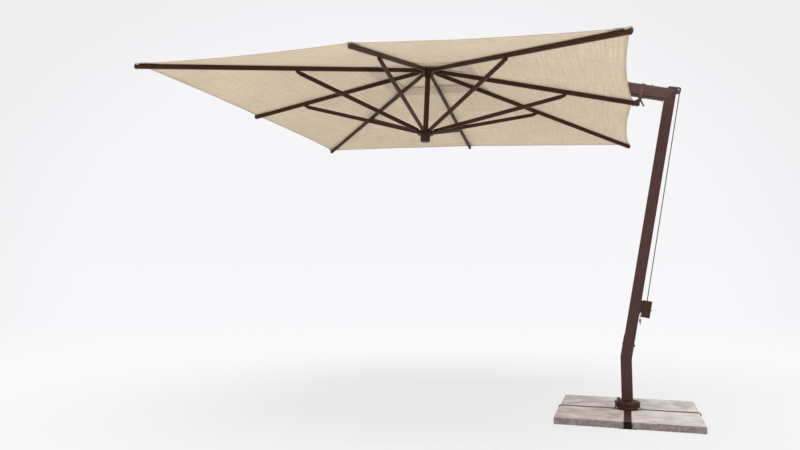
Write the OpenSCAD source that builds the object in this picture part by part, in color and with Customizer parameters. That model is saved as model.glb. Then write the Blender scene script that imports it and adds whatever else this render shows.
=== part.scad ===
// Cantilever parasol with a square canopy, a leaning side mast and a slab-weighted cross base.
// Millimetres. +Z up, origin on the ground under the swivel axis. The boom reaches towards -X.

/* [Base] */
// Side of each square concrete slab
slab_side = 500; // [440:5:520]
// Thickness of the slabs
slab_t = 50; // [46:1:54]
// Width and height of the square tubes of the cross
cross_tube = 48; // [44:1:50]

/* [Swivel] */
// Diameter of the swivel housing
swivel_d = 194; // [186:1:204]
// Height of the turning upper half
cover_h = 39; // [36:1:44]

/* [Mast] */
// Height of the kink above the ground
kink_h = 443; // [420:1:470]
// Lean of the mast from the vertical, in degrees
mast_lean = 10.55; // [10:0.05:11]
// Length of the mast centre line from the kink to the corner
mast_len = 2151; // [2130:1:2170]
// Depth of the mast tube
mast_d = 84; // [82:1:86]
// Width of the mast and boom tubes
mast_w = 60; // [56:1:64]
// Wall of the mast tubes
mast_wall = 3; // [2:0.5:4]

/* [Boom] */
// Rise of the boom above the horizontal, in degrees
boom_rise = 14.7; // [14.5:0.1:15.2]
// Height of the boom tube without its rail
boom_h = 92; // [88:1:92]
// Height of the rail under the boom
rail_h = 14; // [12:1:14]

/* [Canopy] */
// Side of the square canopy
canopy_side = 3500; // [3460:10:3520]
// Horizontal distance from the swivel axis to the canopy hub
hub_reach = 1641; // [1630:1:1660]
// Height of the rib pivots above the ground
hub_height = 2967; // [2955:1:2970]
// Tilt of the canopy, outer side up, in degrees
canopy_tilt = 2.7; // [2.4:0.1:3]
// Drop of the middle rib tips below their pivots
mid_drop = 361; // [350:1:370]
// Drop of the corner rib tips below their pivots
corner_drop = 393; // [385:1:400]
// Inward bow of each canopy edge between two ribs
edge_bow = 12; // [6:1:30]

/* [Ribs and struts] */
// Radius of the pivot circle on both hubs
pivot_r = 58; // [58:0.5:59]
// Distance of the strut pins from the canopy axis
joint_r = 1216; // [1200:1:1230]
// Depth of the strut pin below the rib centre line
pin_drop = 32; // [32:0.5:34]
// Rib tube height
rib_h = 36; // [34:1:36]
// Rib tube width
rib_w = 20; // [18:1:20]
// Strut tube height
strut_h = 34; // [30:1:34]
// Strut tube width
strut_w = 20; // [18:1:20]

/* [Winch] */
// Height of the winch housing along the mast
winch_h = 134; // [128:1:138]
// Depth of the winch housing
winch_d = 68; // [66:1:70]
// Width of the winch housing
winch_w = 64; // [60:1:66]

/* [Hidden] */
$fn = 64;

bronze = [0.27, 0.20, 0.18];
dark = [0.12, 0.10, 0.09];
linen = [0.83, 0.77, 0.66];
stone = [0.62, 0.58, 0.55];
zinc = [0.75, 0.75, 0.74];
white = [0.9, 0.9, 0.86];

quarter_turns = [0, 90, 180, 270];
cut_w = 200; // width of the blocks that trim the tubes, wider than any of them

// Base and swivel
slab_gap = 1;
ledge_t = 3;
ledge_out = 38; // reach of the ledge beside the cross tube
cross_wall = 2.5;
cross_half = slab_side + cross_tube / 2 + slab_gap;
cross_mid = ledge_t + cross_tube / 2;
cross_top = ledge_t + cross_tube;
pad_t = 4;
flange_r = 78; // circle of the four upright bolts
rim_angles = [33, 147, 213, 327]; // the four screws around the housing
rim_z = 10; // their height above the foot of the housing
swivel_z = cross_top + pad_t;
swivel_r = swivel_d / 2;
cover_z = swivel_z + 31.6;
cover_top = cover_z + cover_h;
knob_x = -67;

// Mast and boom. Points and directions lie in the XZ plane, as [x, z]
kink = [0, kink_h];
mast_dir = [sin(mast_lean), cos(mast_lean)];
mast_out = [cos(mast_lean), -sin(mast_lean)]; // square to the mast, towards +X
corner = kink + mast_len * mast_dir;
boom_dir = [-cos(boom_rise), sin(boom_rise)];
boom_up = [sin(boom_rise), cos(boom_rise)];
// Heights of the boom's faces above its line through the corner
boom_bottom = -39;
boom_top = boom_h + boom_bottom;
boom_mid = (boom_top + boom_bottom) / 2;
rail_bottom = boom_bottom - rail_h;
tube_r = 9; // outer corner radius of the mast and boom tubes

function cross2(a, b) = a[0] * b[1] - a[1] * b[0];
// Crossing of two lines, each given by a point and a direction
function meet(point_1, dir_1, point_2, dir_2) =
  point_1 + dir_1 * (cross2(point_2 - point_1, dir_2) / cross2(dir_1, dir_2));
corner_in = meet(kink - mast_out * mast_d / 2, mast_dir, corner + boom_up * rail_bottom, boom_dir);
corner_out = meet(kink + mast_out * mast_d / 2, mast_dir, corner + boom_up * boom_top, boom_dir);
mitre = (corner_out - corner_in) / norm(corner_out - corner_in);
kink_dir = [cos(mast_lean / 2), -sin(mast_lean / 2)];
boom_len = (corner[0] + hub_reach) / cos(boom_rise) + 55;

// Pulley at the corner
pulley_pos = corner + [62, 34];
chamber_r = 17.6;
chamber_w = 15;
groove_r = 12.5; // radius of the rope's centre line around the pulley

// Winch, in the mast frame
winch_x = mast_d / 2 + 12;
winch_z = 353;
winch_axis = winch_z + 67;
winch_plate_z = winch_z + 32;
winch_screw_z = [winch_z + 44, winch_z + 115];
rope_x = winch_x + 29.5;

// Rope
rope_r = 4;
rope_y = -17;
rope_low = kink + rope_x * mast_out + (winch_axis + 5) * mast_dir;
rope_top = pulley_pos + groove_r * mast_out;
rope_angle = 102 - boom_rise; // where the rope leaves the pulley, up from +X
rope_off = pulley_pos + groove_r * [cos(rope_angle), sin(rope_angle)];
rope_in = rope_off + 110 * [-sin(rope_angle), cos(rope_angle)];
rope_end = rope_in + (boom_len - 340) * boom_dir;

// Canopy frame: origin in the upper rib pivot plane, Z along the canopy axis.
// Ribs and struts are numbered 1 to 8 from +X. Odd ones run to the middle of an edge.
half = canopy_side / 2;
mid_run = half - pivot_r;
corner_run = half * sqrt(2) - pivot_r;
mid_angle = atan(mid_drop / mid_run);
corner_angle = atan(corner_drop / corner_run);
mid_extra = 28; // extra length of the middle ribs
strap_rib_extra = 74; // extra length of rib 1, in place of mid_extra
tip_cap_len = 20;
rib_start = 46;
strut_start = 32;
strut_end_h = 25;
strut_end_w = 16;

function is_mid(k) = k % 2 == 1;
function rib_angle(k) = is_mid(k) ? mid_angle : corner_angle;
function rib_len(k) = k == 1 ? norm([mid_run, mid_drop]) + strap_rib_extra
  : is_mid(k) ? norm([mid_run, mid_drop]) + mid_extra : norm([corner_run, corner_drop]);
function rib_end(k) = rib_len(k) - tip_cap_len;
// Strut pin: its place along the rib, and its height in the canopy frame
function joint_along(k) =
  (joint_r - pivot_r + pin_drop * sin(rib_angle(k))) / cos(rib_angle(k));
function joint_z(k) = -(joint_along(k) * sin(rib_angle(k)) + pin_drop * cos(rib_angle(k)));
hub_gap = -2 * joint_z(1); // between the pivot planes of the two hubs
function strut_rise(k) = hub_gap + joint_z(k);
function strut_len(k) = norm([joint_r - pivot_r, strut_rise(k)]);
function strut_angle(k) = atan(strut_rise(k) / (joint_r - pivot_r));

pin_lift = 48; // hub pin above the rib pivots
hub_pin = [-hub_reach + pin_lift * sin(canopy_tilt), hub_height + pin_lift * cos(canopy_tilt)];
slot_r = pivot_r - 19; // inner end of the slots in both hubs

// ---------- helpers ----------
module rounded_rect(width, height, radius) {
  square([width - 2 * radius, height], center = true);
  square([width, height - 2 * radius], center = true);
  for (sx = [-1, 1], sy = [-1, 1])
    translate([sx * (width / 2 - radius), sy * (height / 2 - radius)]) circle(r = radius, $fn = 24);
}

module rounded_tube(width, height, radius, wall) {
  difference() {
    rounded_rect(width, height, radius);
    rounded_rect(width - 2 * wall, height - 2 * wall, max(radius - wall, 0.5));
  }
}

// Extrudes an XZ outline across Y, centred on y
module across(width, y = 0) {
  translate([0, y, 0]) rotate([90, 0, 0]) linear_extrude(width, center = true) children();
}

module side_plate(width, points) {
  across(width) polygon(points);
}

// Moves to an [x, z] point
module place(point) {
  translate([point[0], 0, point[1]]) children();
}

module y_rod(radius, length, point = [0, 0]) {
  place(point) rotate([90, 0, 0]) cylinder(r = radius, h = length, center = true);
}

// Turns +Z to +X
module facing_x(x, z = 0) {
  translate([x, 0, z]) rotate([0, 90, 0]) children();
}

module x_rod(radius, length, x, z = 0) {
  facing_x(x, z) cylinder(r = radius, h = length);
}

module bar(from, to, height, width, radius) {
  facing_x(from) linear_extrude(to - from) rounded_rect(height, width, radius);
}

function in_space(point, y = 0) = [point[0], y, point[1]];

// Rod between two [x, y, z] points
module rod(from, to, radius) {
  span = to - from;
  translate(from) rotate([0, acos(span[2] / norm(span)), atan2(span[1], span[0])])
    cylinder(r = radius, h = norm(span), $fn = 24);
}

// Ball on a bend of the rope
module knuckle(point, extra = 0.1) {
  place(point) sphere(r = rope_r + extra, $fn = 32);
}

// Z along the mast, X away from the canopy
module mast_frame() {
  place(kink) rotate([0, mast_lean, 0]) children();
}

// -X along the boom, Z square to it
module boom_frame() {
  place(corner) rotate([0, boom_rise, 0]) children();
}

// Extrudes along the boom, from a distance past the corner
module along_boom(start, length, z = boom_mid) {
  boom_frame() translate([-start, 0, z]) rotate([0, -90, 0]) linear_extrude(length) children();
}

module hub_frame() {
  translate([-hub_reach, 0, hub_height]) rotate([0, canopy_tilt, 0]) children();
}

module rib_frame(k) {
  hub_frame() rotate([0, 0, 45 * (k - 1)]) translate([pivot_r, 0, 0])
    rotate([0, rib_angle(k), 0]) children();
}

module strut_frame(k) {
  hub_frame() rotate([0, 0, 45 * (k - 1)]) translate([pivot_r, 0, -hub_gap])
    rotate([0, -strut_angle(k), 0]) children();
}

// ---------- base ----------
module base_cross() {
  color(bronze) difference() {
    for (a = [0, 90]) rotate(a) {
      translate([-cross_half, -cross_tube / 2, ledge_t])
        cube([2 * cross_half, cross_tube, cross_tube]);
      translate([-cross_half, -cross_tube / 2 - ledge_out, 0])
        cube([2 * cross_half, cross_tube + 2 * ledge_out, ledge_t]);
      translate([-92, -cross_tube / 2, cross_top]) cube([184, cross_tube, pad_t]);
    }
    for (a = quarter_turns) rotate(a) {
      translate([60, -cross_tube / 2 + cross_wall, ledge_t + cross_wall])
        cube([cross_half, cross_tube - 2 * cross_wall, cross_tube - 2 * cross_wall]);
      translate([flange_r, 0, cross_top - 6]) cylinder(r = 4.2, h = 20);
    }
  }
}

module slabs() {
  centre = cross_half - slab_side / 2;
  color(stone) for (sx = [-1, 1], sy = [-1, 1])
    translate([sx * centre, sy * centre, ledge_t + 0.1])
      linear_extrude(slab_t) rounded_rect(slab_side, slab_side, 7);
}

module cross_end_caps() {
  plug = cross_tube - 2 * cross_wall - 0.2;
  color(dark) for (a = quarter_turns) rotate(a) {
    facing_x(cross_half - 24, cross_mid) linear_extrude(24) rounded_rect(plug, plug, 3);
    facing_x(cross_half, cross_mid) {
      linear_extrude(3) rounded_rect(cross_tube, cross_tube, 4);
      linear_extrude(10) rounded_rect(cross_tube - 8, cross_tube - 5, 8);
    }
  }
}

// ---------- swivel ----------
module swivel_base() {
  // [radius, height above the foot]
  profile = [[6, 0], [swivel_r - 3, 0], [swivel_r, 2], [swivel_r, 14], [swivel_r - 2, 16],
    [swivel_r - 2, 27], [swivel_r - 4, 29], [swivel_r - 12, 29], [swivel_r - 12, 8],
    [22, 8], [22, 58], [6, 58]];
  color(bronze) translate([0, 0, swivel_z]) difference() {
    rotate_extrude($fn = 128) polygon(profile);
    for (a = quarter_turns) rotate(a) translate([flange_r, 0, -1]) cylinder(r = 4.2, h = 20);
    for (a = rim_angles) rotate(a) x_rod(3.1, 40, 84, rim_z);
  }
}

module flange_bolts() {
  // [radius, height] of the domed head
  head = [[0, 0], [7, 0], [7, 1.8], [5.4, 3.8], [2.5, 4.6], [0, 4.7]];
  color(zinc) {
    for (a = quarter_turns) rotate(a) translate([flange_r, 0, 0]) {
      translate([0, 0, cross_top - 2]) cylinder(r = 4, h = pad_t + 10);
      translate([0, 0, swivel_z + 8.05]) cylinder(r = 7, h = 5.5, $fn = 6);
    }
    for (a = rim_angles) rotate(a) {
      x_rod(3, swivel_r - 85, 85.2, swivel_z + rim_z);
      facing_x(swivel_r + 0.05, swivel_z + rim_z) rotate_extrude() polygon(head);
    }
  }
}

module swivel_bush() {
  color(white) difference() {
    translate([0, 0, swivel_z + 9]) {
      cylinder(r = 30, h = 47);
      cylinder(r = 38, h = 5);
    }
    translate([0, 0, swivel_z]) cylinder(r = 22.06, h = 80);
  }
}

module swivel_cover() {
  bore = 30.05;
  // [radius, height above the cover's lower edge]
  profile = [[bore, 20], [bore, -10], [swivel_r - 20, -10], [swivel_r - 20, 0],
    [swivel_r - 1, 0], [swivel_r, 1], [swivel_r, 11], [swivel_r - 2, 12], [swivel_r - 2, 14],
    [swivel_r, 15], [swivel_r, 22], [swivel_r - 6, 27], [swivel_r - 16, 29], [60, 36],
    [52, cover_h], [0, cover_h], [0, cover_h - 6], [bore, cover_h - 6]];
  color(bronze) translate([0, 0, cover_z]) difference() {
    rotate_extrude($fn = 128) polygon(profile);
    translate([knob_x, 0, -20]) cylinder(r = 4.06, h = 80);
  }
}

module lock_knob() {
  // [radius, height]
  profile = [[0, 0], [8, 0], [11.5, 3], [12.2, 7], [11, 11], [7.5, 14], [0, 15]];
  color(dark) translate([knob_x, 0, cover_z]) {
    translate([0, 0, 12]) cylinder(r = 4, h = 30);
    translate([0, 0, 38.6]) rotate_extrude() polygon(profile);
  }
}

// ---------- mast ----------
kink_cut = [0, 1.2]; // half the joint between post and mast
plate_t = 3.4;

module lower_post() {
  color(bronze) intersection() {
    translate([0, 0, cover_top]) linear_extrude(kink_h)
      rounded_tube(mast_d + 2, mast_w, tube_r, mast_wall);
    side_plate(cut_w, [[-300, 0], [300, 0],
      kink + 300 * kink_dir - kink_cut, kink - 300 * kink_dir - kink_cut]);
  }
}

// Hole for the bolt through plate, mast and insert
module mast_bolt_hole() {
  mast_frame() x_rod(4.1, 200, -100, 115);
}

module winch_screw_holes() {
  for (z = winch_screw_z) x_rod(2.6, 100, 0, z);
}

module mast() {
  color(bronze) difference() {
    intersection() {
      mast_frame() translate([0, 0, -40]) linear_extrude(mast_len + 200)
        rounded_tube(mast_d, mast_w, tube_r, mast_wall);
      side_plate(cut_w, [kink - 300 * kink_dir + kink_cut, kink + 300 * kink_dir + kink_cut,
        corner_out + 200 * mitre - [0, 0.3], corner_in - 200 * mitre - [0, 0.3]]);
    }
    mast_bolt_hole();
    mast_frame() {
      winch_screw_holes();
      translate([mast_d / 2 - 5, -chamber_w / 2, mast_len + 22]) cube([20, chamber_w, 60]);
    }
  }
}

// Outline bent at the kink, from height bottom to a length along the mast
function kinked(half_depth, bottom, length) =
  let (at_kink = half_depth / cos(mast_lean / 2) * kink_dir, end = kink + length * mast_dir)
  [[-half_depth, bottom], [half_depth, bottom], kink + at_kink,
    end + half_depth * mast_out, end - half_depth * mast_out, kink - at_kink];

module mast_insert() {
  half_depth = mast_d / 2 - mast_wall - 0.4;
  width = mast_w - 2 * mast_wall - 11;
  color(zinc) difference() {
    side_plate(width, kinked(half_depth, kink_h - 190, 190));
    side_plate(width - 10, kinked(half_depth - 5, kink_h - 220, 220));
    mast_bolt_hole();
  }
}

module mast_plate() {
  color(bronze) difference() {
    mast_frame() translate([-mast_d / 2 - 0.2 - plate_t / 2, 0, 4]) linear_extrude(183)
      rounded_rect(plate_t, 42, 1.5);
    mast_bolt_hole();
  }
}

module mast_bolts() {
  // [radius, height] of the domed head
  head = [[0, 0], [10.5, 0], [10.5, 2.2], [8, 5.8], [4, 7.6], [0, 8]];
  color(bronze) mast_frame() translate([0, 0, 115]) {
    x_rod(4, mast_d + 4, -mast_d / 2 - 3.7);
    facing_x(mast_d / 2 + 0.1) rotate_extrude() polygon(head);
    x_rod(8, 2.2, -mast_d / 2 - 5.9);
  }
}

// ---------- corner ----------
// Opening in the top of the boom at the corner
module rope_slot() {
  side_plate(14, [corner + 2 * boom_dir + 75 * boom_up, corner - 48 * boom_dir + 75 * boom_up,
    corner - 48 * boom_dir + 32 * boom_up, corner + 34 * boom_dir + 34 * boom_up,
    corner + 34 * boom_dir + 75 * boom_up]);
}

// Clears the rope on its way from the pulley into the boom
module rope_channel() {
  rod(in_space(rope_off), in_space(rope_in), rope_r + 1.6);
  rod(in_space(rope_in), in_space(rope_in + 90 * boom_dir), rope_r + 1.6);
  knuckle(rope_in, 1.5);
}

module corner_insert() {
  radius = 5.6;
  wall = 4;
  depth = mast_d - 2 * mast_wall - 0.8;
  width = mast_w - 2 * mast_wall - 0.8;
  color(zinc) difference() {
    union() {
      intersection() {
        mast_frame() translate([0, 0, mast_len - 150]) linear_extrude(400)
          rounded_tube(depth, width, radius, wall);
        side_plate(cut_w, [corner - 400 * mast_dir - 300 * mast_out,
          corner - 400 * mast_dir + 300 * mast_out,
          corner_out + 100 * mitre, corner_in - 100 * mitre]);
      }
      intersection() {
        along_boom(-80, 260) rounded_tube(boom_h - 5.8, mast_w - 5.8, radius, wall);
        side_plate(cut_w, [corner_in - 100 * mitre, corner_out + 100 * mitre,
          corner + 400 * boom_dir + 300 * boom_up, corner + 400 * boom_dir - 300 * boom_up]);
      }
    }
    rope_slot();
    rope_channel();
    side_plate(chamber_w, [for (offset = [[30, 30], [-12, 14], [-16, -40], [30, -40]])
      corner_out + offset]);
  }
}

// Space around the pulley, open below for the rope and forward into the boom
module pulley_chamber() {
  side = chamber_r * mast_out;
  side_plate(chamber_w, [pulley_pos - side, pulley_pos + side,
    pulley_pos + side - 60 * mast_dir, pulley_pos - side - 60 * mast_dir]);
  side_plate(chamber_w, [pulley_pos + chamber_r * boom_up,
    pulley_pos + 70 * boom_dir + 2 * boom_up, pulley_pos + 70 * boom_dir - 30 * boom_up,
    pulley_pos - chamber_r * boom_up]);
  y_rod(chamber_r, chamber_w, pulley_pos);
}

module corner_cap() {
  cap_r = 20.5;
  // Where the outer faces of mast and boom meet, with a 0.1 gap
  seat = meet(kink + mast_out * (mast_d / 2 + 0.1), mast_dir,
    corner + boom_up * (boom_top + 0.1), boom_dir);
  outline = [
    corner + 32 * boom_dir + (boom_top - 5) * boom_up,
    corner + 32 * boom_dir + boom_top * boom_up,
    corner + 22 * boom_dir + (boom_top + 13) * boom_up,
    pulley_pos + cap_r * boom_up,
    pulley_pos,
    pulley_pos - 20.5 * mast_dir + 4 * mast_out,
    pulley_pos - 26 * mast_dir - 20 * mast_out,
    seat - 14 * mast_out - 14 * boom_up];
  // Everything outside the mast and above the boom
  outside = [seat, seat + 200 * boom_dir, seat + 200 * boom_dir + 200 * boom_up,
    seat + 200 * mast_out + 200 * boom_up, seat + 200 * mast_out - 200 * mast_dir,
    seat - 200 * mast_dir];
  color(bronze) difference() {
    intersection() {
      union() {
        side_plate(mast_w, outline);
        y_rod(cap_r, mast_w, pulley_pos);
      }
      side_plate(cut_w, outside);
    }
    pulley_chamber();
    y_rod(4.05, 100, pulley_pos);
  }
}

module corner_pulley() {
  color(dark) place(pulley_pos) rotate([90, 0, 0]) difference() {
    translate([0, 0, -6.5]) cylinder(r = 15, h = 13);
    rotate_extrude() translate([groove_r, 0]) circle(r = 4.5);
    rotate_extrude() translate([groove_r, -4.5]) square([10, 9]);
    translate([0, 0, -10]) cylinder(r = 4.06, h = 20);
  }
}

// ---------- boom ----------
arm_knob_at = 152; // distance of the knob from the corner

module arm() {
  color(bronze) difference() {
    intersection() {
      along_boom(-200, boom_len + 200) rounded_tube(boom_h, mast_w, tube_r, 2.5);
      side_plate(cut_w, [
        corner_in - 200 * mitre + 0.3 * boom_dir,
        corner_out + 200 * mitre + 0.3 * boom_dir,
        corner + (boom_len + 10) * boom_dir + 300 * boom_up,
        corner + (boom_len + 10) * boom_dir - 300 * boom_up]);
    }
    rope_slot();
    boom_frame() {
      translate([-boom_len - 20, -17.2, boom_bottom - 5]) cube([118, 34.4, 12]);
      translate([-arm_knob_at, 0, boom_top - 6]) cylinder(r = 3.1, h = 12);
    }
  }
}

module arm_rail() {
  top = rail_h - 0.1;
  // Channel with lips below, as [height above the rail's underside, y]
  section = [[0, -14], [0, -5], [2.5, -5], [2.5, -11.5], [11, -11.5], [11, 11.5],
    [2.5, 11.5], [2.5, 5], [0, 5], [0, 14], [top, 14], [top, -14]];
  color(bronze) along_boom(66, 1950, rail_bottom) polygon(section);
  // End stop and cradle at the corner end of the rail
  color(dark) boom_frame() {
    translate([-65, -14, rail_bottom - 2]) cube([25, 28, rail_h + 1.8]);
    translate([-209, -16.5, rail_bottom - 2]) difference() {
      cube([26, 33, 12]);
      translate([-1, 2.4, 1.9]) cube([30, 28.2, 20]);
    }
  }
}

module arm_knob() {
  // [radius, height]
  profile = [[0, 0], [7.5, 0], [9, 2], [9, 7], [7, 10], [4, 11], [0, 11]];
  color(dark) boom_frame() translate([-arm_knob_at, 0, boom_top]) {
    translate([0, 0, -2.3]) cylinder(r = 3, h = 5.3);
    translate([0, 0, 0.1]) rotate_extrude() polygon(profile);
  }
}

module hub_bracket() {
  cheek_r = 17;
  color(bronze) difference() {
    union() {
      boom_frame() {
        facing_x(-boom_len, boom_mid) linear_extrude(90)
          rounded_rect(boom_h - 6, mast_w - 6, 5);
        facing_x(-boom_len - 4, boom_mid) linear_extrude(4) rounded_rect(boom_h, mast_w, tube_r);
      }
      for (s = [-1, 1]) {
        across(6, s * 13.6) translate(hub_pin) circle(r = cheek_r);
        across(6, s * 13.6) translate(hub_pin - [cheek_r, 0]) square([2 * cheek_r, 48]);
      }
    }
    y_rod(5.05, 100, hub_pin);
    // clears the hub lug between the cheeks
    translate([hub_pin[0] - 60, -10.6, hub_pin[1] - 40]) cube([120, 21.2, 62]);
  }
}

module pivot_pins() {
  color(zinc) {
    y_rod(5, 40, hub_pin);
    y_rod(4, mast_w + 1, pulley_pos);
    for (s = [-1, 1]) {
      translate([0, s * 18.5, 0]) y_rod(8, 3, hub_pin);
      translate([0, s * (mast_w / 2 + 1.2), 0]) y_rod(5.5, 2.2, pulley_pos);
    }
  }
}

// ---------- winch ----------
module winch_back_plate() {
  color(dark) mast_frame() difference() {
    translate([mast_d / 2 + 6, 0, winch_plate_z]) linear_extrude(winch_h - 36)
      rounded_rect(11.8, 46, 1);
    winch_screw_holes();
    x_rod(9.05, 100, 0, winch_axis);
  }
}

// Closed box with a shaft hole and a rope hole
module winch_housing() {
  wall = 3;
  color(bronze) mast_frame() difference() {
    translate([winch_x + winch_d / 2, 0, winch_z]) linear_extrude(winch_h)
      rounded_rect(winch_d, winch_w, 7);
    translate([winch_x - 1 + (winch_d - wall + 1) / 2, 0, winch_z + wall])
      linear_extrude(winch_h - 2 * wall)
        rounded_rect(winch_d - wall + 1, winch_w - 2 * wall, 4);
    x_rod(9.05, 40, winch_x + winch_d - 20, winch_axis);
    translate([rope_x, rope_y, winch_z + winch_h - 10]) cylinder(r = 8, h = 20);
  }
}

module winch_screws() {
  color(zinc) mast_frame() for (z = winch_screw_z) {
    x_rod(2.5, 24, mast_d / 2 - 12, z);
    x_rod(4.5, 3.5, winch_x, z);
  }
}

module winch_bushes() {
  color(white) mast_frame() translate([0, 0, winch_axis]) difference() {
    union() {
      x_rod(9, 11, mast_d / 2 + 1);
      x_rod(12, 3, winch_x + 0.2);
      x_rod(9, 5, winch_x + winch_d - 5);
      x_rod(12, 2, winch_x + winch_d + 0.1);
    }
    x_rod(6.06, 300, 0);
  }
}

module winch_drum() {
  color(dark) mast_frame() translate([winch_x + 8, 0, winch_axis]) difference() {
    union() {
      x_rod(26, 4, 0);
      x_rod(12, 44, 0);
      x_rod(26, 4, 40);
    }
    x_rod(6.05, 60, -1);
  }
}

module winch_shaft() {
  color(zinc) mast_frame() translate([mast_d / 2 + 2, 0, winch_axis]) difference() {
    union() {
      x_rod(6, winch_d + 14, 0);
      x_rod(8.5, 7, winch_d + 12.5);
    }
    x_rod(4, 60, winch_d - 6);
  }
}

// ---------- rope, toggle and strap ----------
// Up from the drum, around the pulley and along the boom
module lift_rope() {
  color(bronze) {
    rod(in_space(rope_low, rope_y), in_space(rope_top), rope_r);
    place(pulley_pos) rotate([90, 0, 0]) rotate([0, 0, -mast_lean])
      rotate_extrude(angle = rope_angle + mast_lean, $fn = 64)
        translate([groove_r, 0]) circle(r = rope_r, $fn = 24);
    rod(in_space(rope_off), in_space(rope_in), rope_r);
    rod(in_space(rope_in), in_space(rope_end), rope_r);
    for (point = [rope_top, rope_off, rope_in]) knuckle(point);
  }
}

// Turned grip on two cords, hanging below the winch back plate
module rope_toggle() {
  // [radius, height]
  profile = [[0, 0], [2.2, 2], [3, 12], [6, 19], [8.6, 27], [9, 34], [7.6, 42], [4.6, 47],
    [3.2, 49], [0, 49]];
  color(linen) place(kink + (mast_d / 2 + 2.4) * mast_out + winch_plate_z * mast_dir) {
    for (s = [-1, 1]) rod([s * 1.6, 0, -52], [s * 1.2, 0, -0.5], 1.4);
    translate([0, 0, -100]) rotate_extrude() polygon(profile);
  }
}

module tie_strap() {
  height = boom_top - rail_bottom;
  tail_top = corner + 222 * boom_dir + (rail_bottom - 6) * boom_up;
  // [x, z] from tail_top
  tail = [[-11, 0.5], [11, 0.5], [5, -16], [24, -66], [13, -70], [0, -30], [-6, -22]];
  color(bronze) {
    boom_frame() facing_x(-232) linear_extrude(24) difference() {
      rounded_rect(height + 9, mast_w + 5, 8);
      rounded_rect(height + 5, mast_w + 0.8, 6);
    }
    across(4, 16) polygon([for (point = tail) tail_top + point]);
  }
}

// ---------- canopy hub ----------
// Slotted disc that holds the rib pivots
module crown() {
  up = 14;
  down = 20;
  difference() {
    translate([0, 0, -down]) cylinder(r = pivot_r + 10, h = up + down, $fn = 96);
    for (k = [0 : 7]) rotate(45 * k) {
      translate([slot_r, -6.4, -down - 1]) cube([60, 12.8, up + down + 2]);
      y_rod(3.08, 34, [pivot_r, 0]);
    }
  }
}

module upper_hub() {
  color(bronze) hub_frame() difference() {
    union() {
      crown();
      translate([0, 0, -50]) cylinder(r = 33, h = 50);
      cylinder(r = 33, h = 24);
      translate([-16, -10, 20]) cube([32, 20, pin_lift - 20]);
      y_rod(16, 20, [0, pin_lift]);
    }
    translate([0, 0, -60]) cylinder(r = 24.7, h = 45);
    y_rod(5.06, 40, [0, pin_lift]);
  }
}

module hub_tube() {
  color(bronze) hub_frame() translate([0, 0, -hub_gap - 10]) difference() {
    cylinder(r = 24, h = hub_gap - 8);
    translate([0, 0, -1]) cylinder(r = 21.5, h = hub_gap);
  }
}

// Slotted disc of the lower hub, with round holes for the pins of the middle struts
// and outward-open notches for those of the corner struts
module lower_crown() {
  difference() {
    translate([0, 0, -12]) cylinder(r = pivot_r + 6, h = 26, $fn = 96);
    for (k = [1 : 8]) rotate(45 * (k - 1)) {
      translate([slot_r, -6.5, -11.9]) cube([60, 13, 50]);
      y_rod(is_mid(k) ? 3.12 : 4.2, 34, [pivot_r, 0]);
      if (!is_mid(k)) translate([pivot_r, -17, -11.9]) cube([60, 34, 40]);
    }
  }
}

module lower_hub() {
  color(bronze) hub_frame() translate([0, 0, -hub_gap]) difference() {
    union() {
      lower_crown();
      translate([0, 0, -28]) cylinder(r = pivot_r + 14, h = 9, $fn = 96);
      translate([0, 0, -19]) cylinder(r = 50, h = 7);
      translate([0, 0, -12]) cylinder(r = 36, h = 40);
    }
    translate([0, 0, -10.1]) cylinder(r = 24.05, h = 60);
    translate([0, 0, -40]) cylinder(r = 6, h = 60);
  }
}

module lower_hub_cup() {
  // [radius, depth below the lower hub]
  profile = [[0, 0], [46, 0], [46, 4], [43.5, 8], [43.5, 56], [40, 60], [36, 61], [34, 57],
    [0, 57]];
  color(bronze) hub_frame() translate([0, 0, -hub_gap - 28.1]) rotate([180, 0, 0])
    rotate_extrude($fn = 96) polygon(profile);
}

// ---------- ribs and struts ----------
// Inner end with its eye, a shoulder against the tube and a plug inside it.
// The shoulder's slope runs between two distances back from the tube's start.
module forged_end(start, height, width, slope, plug_len, plug_play, plug_r, hole_r) {
  top = height / 2;
  color(bronze) difference() {
    union() {
      y_rod(9, 12);
      translate([0, -6, -9]) cube([start, 12, 18]);
      side_plate(16, [[start - 0.1, -top + 0.4], [start - 0.1, top - 0.4],
        [start - slope[0], top - 1], [start - slope[1], 9],
        [start - slope[1], -9], [start - slope[0], -top + 1]]);
      bar(start - 1, start + plug_len, height - plug_play, width - plug_play, plug_r);
    }
    y_rod(hole_r, 30);
  }
}

module rib(k) {
  color(bronze) rib_frame(k) facing_x(rib_start) linear_extrude(rib_end(k) - rib_start)
    rounded_tube(rib_h, rib_w, 4, 1.6);
}

module tip_cap(end) {
  color(dark) {
    intersection() {
      bar(end + 0.1, end + tip_cap_len, rib_h + 2, rib_w + 2, 5);
      y_rod(rib_h / 2 + 1.05, 60, [end + 1, 0]);
    }
    bar(end - 24, end + 0.1, rib_h - 3.8, rib_w - 3.8, 2.4);
  }
}

// Saddle under the rib that carries the strut pin, with the pin
module strut_saddle(along) {
  pin = [along, -pin_drop];
  width = rib_w + 6;
  color(dark) difference() {
    union() {
      translate([along - 17, -width / 2, -30]) cube([34, width, 40]);
      y_rod(10, width, pin);
    }
    translate([along - 40, -rib_w / 2 - 0.1, -rib_h / 2 - 0.1]) cube([80, rib_w + 0.2, 60]);
    translate([along - 40, -strut_end_w / 2 - 0.3, -60])
      cube([80, strut_end_w + 0.6, 60 - rib_h / 2 - 3]);
    y_rod(3.05, 60, pin);
  }
  color(zinc) {
    y_rod(3, rib_w + 8, pin);
    for (s = [-1, 1]) translate([0, s * (rib_w / 2 + 4.1), 0]) y_rod(5, 2, pin);
  }
}

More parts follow.
